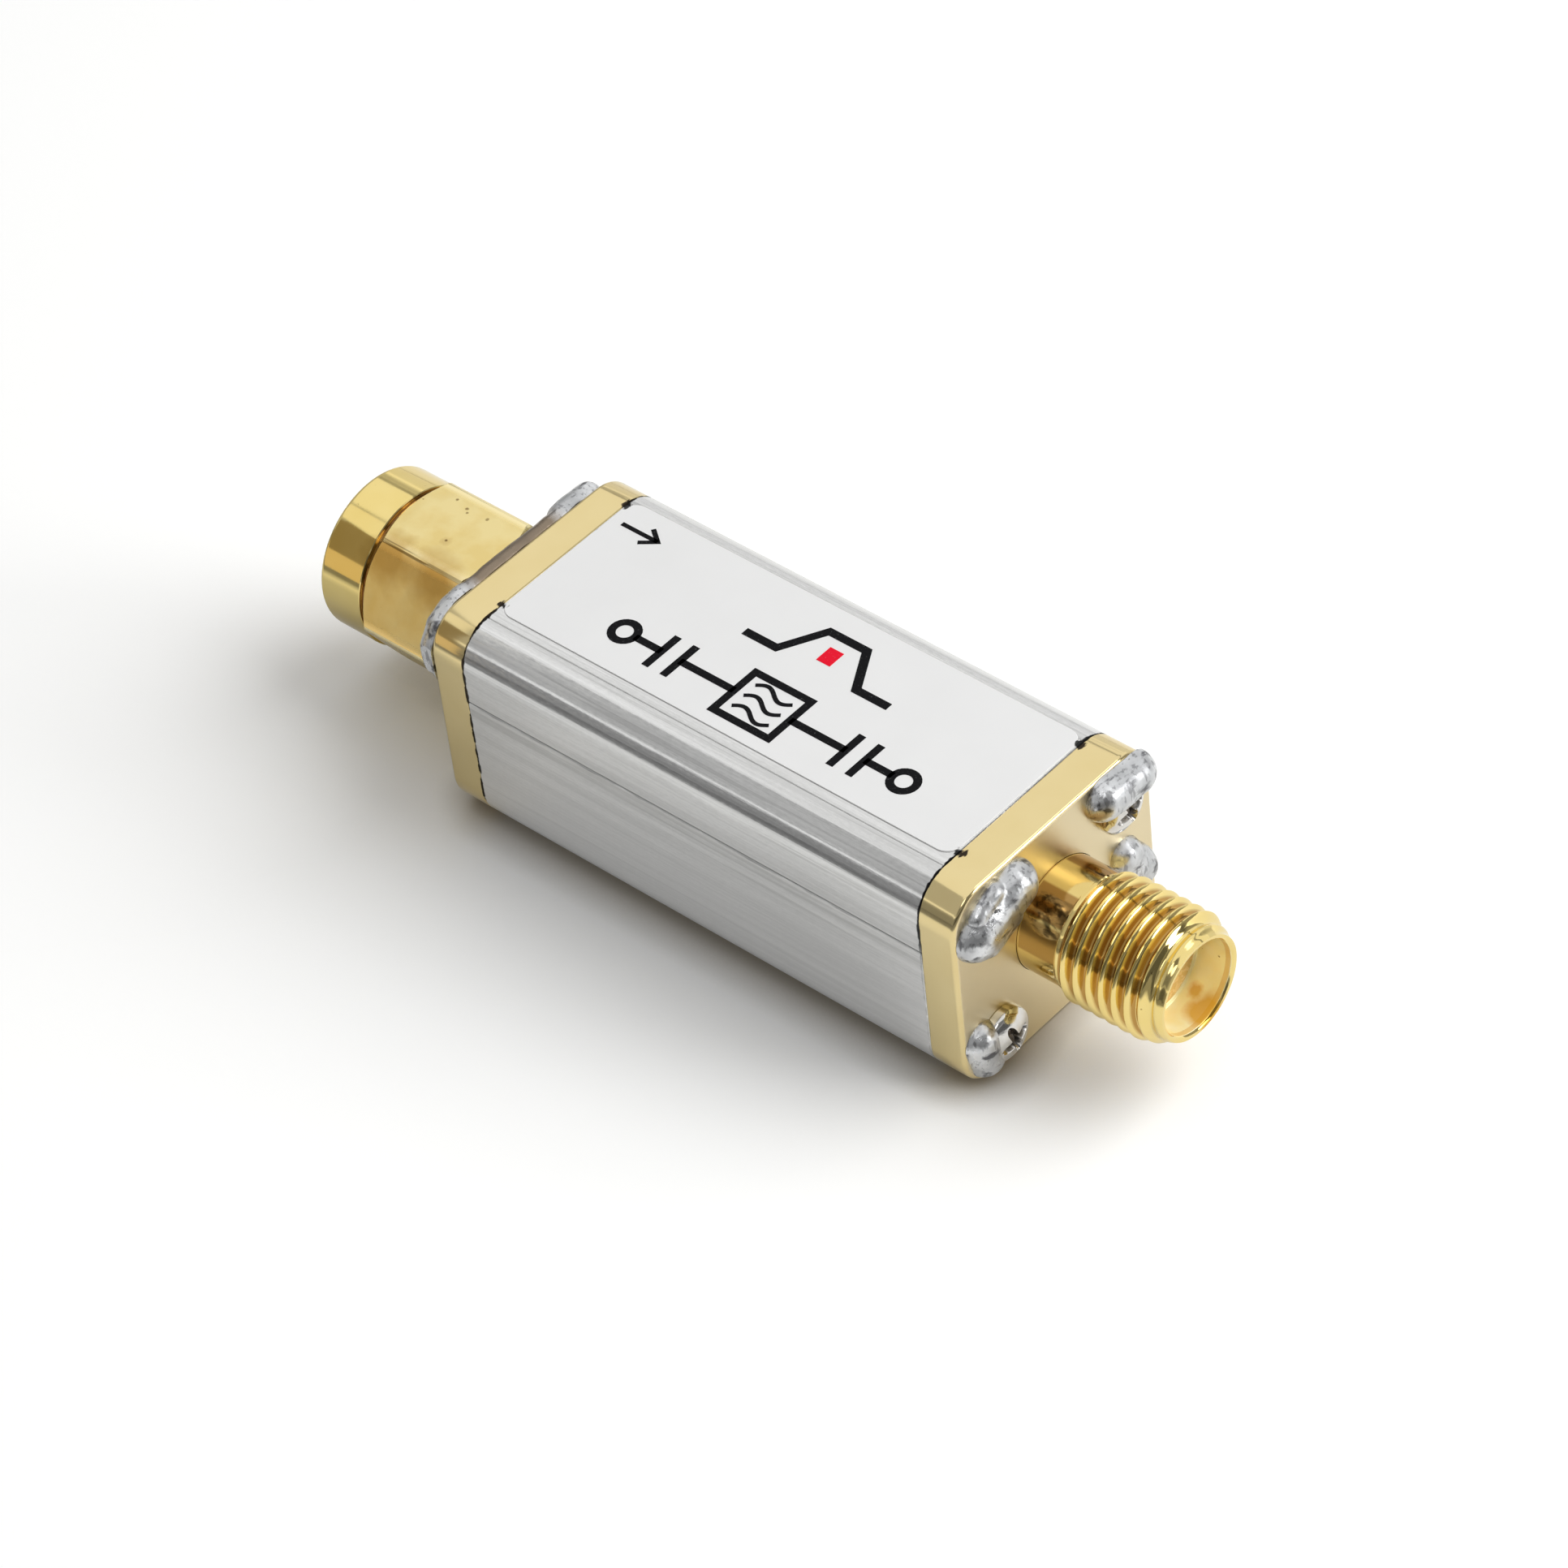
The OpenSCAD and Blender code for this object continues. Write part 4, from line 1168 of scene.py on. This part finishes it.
spring_bronze = drifting_finish(
    "spring_bronze", {"Metallic": 1.0}, 3.0, ((0.45, 0.24, 0.11, 1.0), (0.66, 0.41, 0.22, 1.0)), (0.25, 0.4)
)
ring = bmesh.new()
ring_turns = [
    math.radians(90 + ring_gap / 2 + (360 - ring_gap) * i / segments) for i in range(segments + 1)
]
ring_middle, ring_front = (ring_inner + ring_outer) / 2, ring_back + ring_thick
ring_section = eased([
    (-ring_back, ring_middle), (-ring_back, ring_outer), (-ring_front, ring_outer),
    (-ring_front, ring_inner), (-ring_back, ring_inner), (-ring_back, ring_middle - 0.01),
], 0.08)
for ring_end in skin(ring, [
    [about_axis(x, radius, turn) for x, radius in ring_section] for turn in ring_turns
]):
    ring.faces.new(ring_end)
made_piece("snap_ring", ring, spring_bronze, ["plug_retaining_ring"])

# Gasket: a moulded ring of red silicone rubber, pushed over the sleeve against the seat of the
# male port, to keep damp out of the joint.
def silicone_rubber():
    finish, shader, spot = finish_of("red_silicone", {
        "Subsurface Weight": 0.1, "Subsurface Radius": (0.0004, 0.0001, 0.0001),
    })
    dust = mottle(spot, 6.0, detail=4.0)
    dusty = mixed(ramp(dust, 0.45, 0.8), (0.42, 0.05, 0.03, 1.0), (0.55, 0.12, 0.08, 1.0))
    surface(shader, dusty, ramp(dust, 0.3, 0.7, 0.45, 0.65))
    return finish


gasket = bmesh.new()
gasket_inner, gasket_outer, gasket_front = sleeve_radius + 0.02, 2.8, plug_seat + 0.65
turn_on_axis(gasket, eased([
    (-plug_seat, gasket_inner + 0.2), (-plug_seat, gasket_inner), (-gasket_front, gasket_inner),
    (-gasket_front, gasket_outer), (-plug_seat, gasket_outer), (-plug_seat, gasket_inner + 0.2),
], 0.15))
made_piece("silicone_gasket", gasket, silicone_rubber(), ["plug_gasket"])

# Insulators: moulded tubes of amber polyetherimide, pressed into the ports, that hold the centre
# conductors in the middle.
amber = drifting_finish(
    "amber_resin", {"Subsurface Weight": 0.3, "Subsurface Radius": (0.0008, 0.0004, 0.0001)}, 3.0,
    ((0.78, 0.48, 0.14, 1.0), (0.85, 0.60, 0.22, 1.0)), (0.2, 0.32),
)
core_radius = 0.635
for end_name, end, reference in (("jack", 1, jack_reference), ("plug", -1, plug_reference)):
    tube = bmesh.new()
    turn_on_axis(tube, [(end * x, radius) for x, radius in eased([
        (reference, 1.2), (reference, core_radius + press_gap), (shoulder_back, core_radius + press_gap),
        (shoulder_back, insulator_radius), (reference, insulator_radius), (reference, 1.2),
    ], 0.03)])
    made_piece(f"{end_name}_dielectric", tube, amber, [f"{end_name}_insulator"])

# Centre conductors: turned and gold-plated. The male one ends in a pin; the female one is drilled
# and slit into four fingers that grip such a pin.
gold_of_contacts = bright_gold("contact_gold", 0.001)
tail_radius = 0.35
tail_back = shoulder_back - 2.4
pin_radius, pin_tip = 0.455, plug_reference + 2.2
pin = bmesh.new()
turn_on_axis(pin, [(-x, radius) for x, radius in [(tail_back, 0.0)] + eased([
    (tail_back, 0.01), (tail_back, tail_radius), (shoulder_back - 0.1, tail_radius),
    (shoulder_back - 0.1, core_radius), (plug_reference, core_radius), (plug_reference, pin_radius),
    (pin_tip - 0.35, pin_radius), (pin_tip, pin_radius / 3), (pin_tip, 0.01),
], 0.04) + [(pin_tip, 0.0)]])
made_piece("center_pin", pin, gold_of_contacts, ["plug_center_pin"])


def smooth_copy(node):
    """The modelled solid of a node as one merged shape in millimetres."""
    shape = bmesh.new()
    shape.from_mesh(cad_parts[node].data)
    bmesh.ops.scale(shape, vec=(1 / mm,) * 3, verts=shape.verts)
    bmesh.ops.remove_doubles(shape, verts=shape.verts, dist=0.001)
    return shape


slit_socket = smooth_copy("jack_center_contact")
made_piece("center_socket", slit_socket, gold_of_contacts, ["jack_center_contact"])

# Filter board: glass-epoxy laminate in the slots of the tube, with gold-flashed copper on both
# faces. Nothing of it shows once the plates are on.
def dress(node, finish):
    """Gives a modelled solid its finish."""
    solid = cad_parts[node]
    solid.data.materials.clear()
    solid.data.materials.append(finish)


glass_epoxy = drifting_finish(
    "glass_epoxy", {"Coat Weight": 0.3, "Coat Roughness": 0.2}, 5.0,
    ((0.015, 0.09, 0.03, 1.0), (0.03, 0.15, 0.06, 1.0)), (0.35, 0.5), (1.0, 0.3, 1.0), 2.0,
)
copper = drifting_finish(
    "flashed_copper", {"Metallic": 1.0}, 4.0, ((0.72, 0.42, 0.16, 1.0), (0.85, 0.58, 0.27, 1.0)),
    (0.25, 0.38),
)
dress("filter_board", glass_epoxy)
dress("board_tracks", copper)
dress("board_ground_plane", copper)

# Resonator: a package of dark fired ceramic with a gold-plated lid sealed over it, soldered down
# on the middle of the board.
dark_ceramic = drifting_finish(
    "dark_ceramic", {}, 6.0, ((0.03, 0.028, 0.026, 1.0), (0.07, 0.065, 0.06, 1.0)), (0.5, 0.7), detail=4.0
)
dress("saw_filter_base", dark_ceramic)
dress("saw_filter_lid", gold_of_contacts)

# Matching chips: an inductor and a capacitor on each side of the resonator. Each is a small block
# of fired ceramic with tinned ends, soldered down by them.
def chip_ceramic(name, body_colour, middle, half_length, axis):
    finish, shader, spot = finish_of(name, {})
    along = maths("ABSOLUTE", axes_of(spot)[axis])
    from_middle = maths("ABSOLUTE", maths("SUBTRACT", along, middle))
    tinned = maths("GREATER_THAN", from_middle, half_length)
    tone = mottle(spot, 8.0, detail=3.0)
    light = tuple(1.3 * part for part in body_colour[:3]) + (1.0,)
    body = mixed(tone, body_colour, light)
    tinned_body = mixed(tinned, body, (0.7, 0.7, 0.71, 1.0))
    surface(shader, tinned_body, ramp(tone, 0.3, 0.7, 0.3, 0.5))
    connect(tinned, shader, "Metallic")
    return finish


chip_body = 0.48
for chips, chip_name, chip_colour, chip_middle, chip_axis in (
    ("matching_inductors", "inductor_ceramic", (0.08, 0.15, 0.28, 1.0), 7.6, "X"),
    ("matching_capacitors", "capacitor_ceramic", (0.30, 0.19, 0.10, 1.0), 0.775, "Y"),
):
    dress(chips, chip_ceramic(chip_name, chip_colour, chip_middle, chip_body, chip_axis))

# Pin joints: tin solder, melted on by hand, that ties the tail of each centre conductor to its
# track on the board.
for end_name in ("plug", "jack"):
    dress(f"{end_name}_pin_solder", solder)
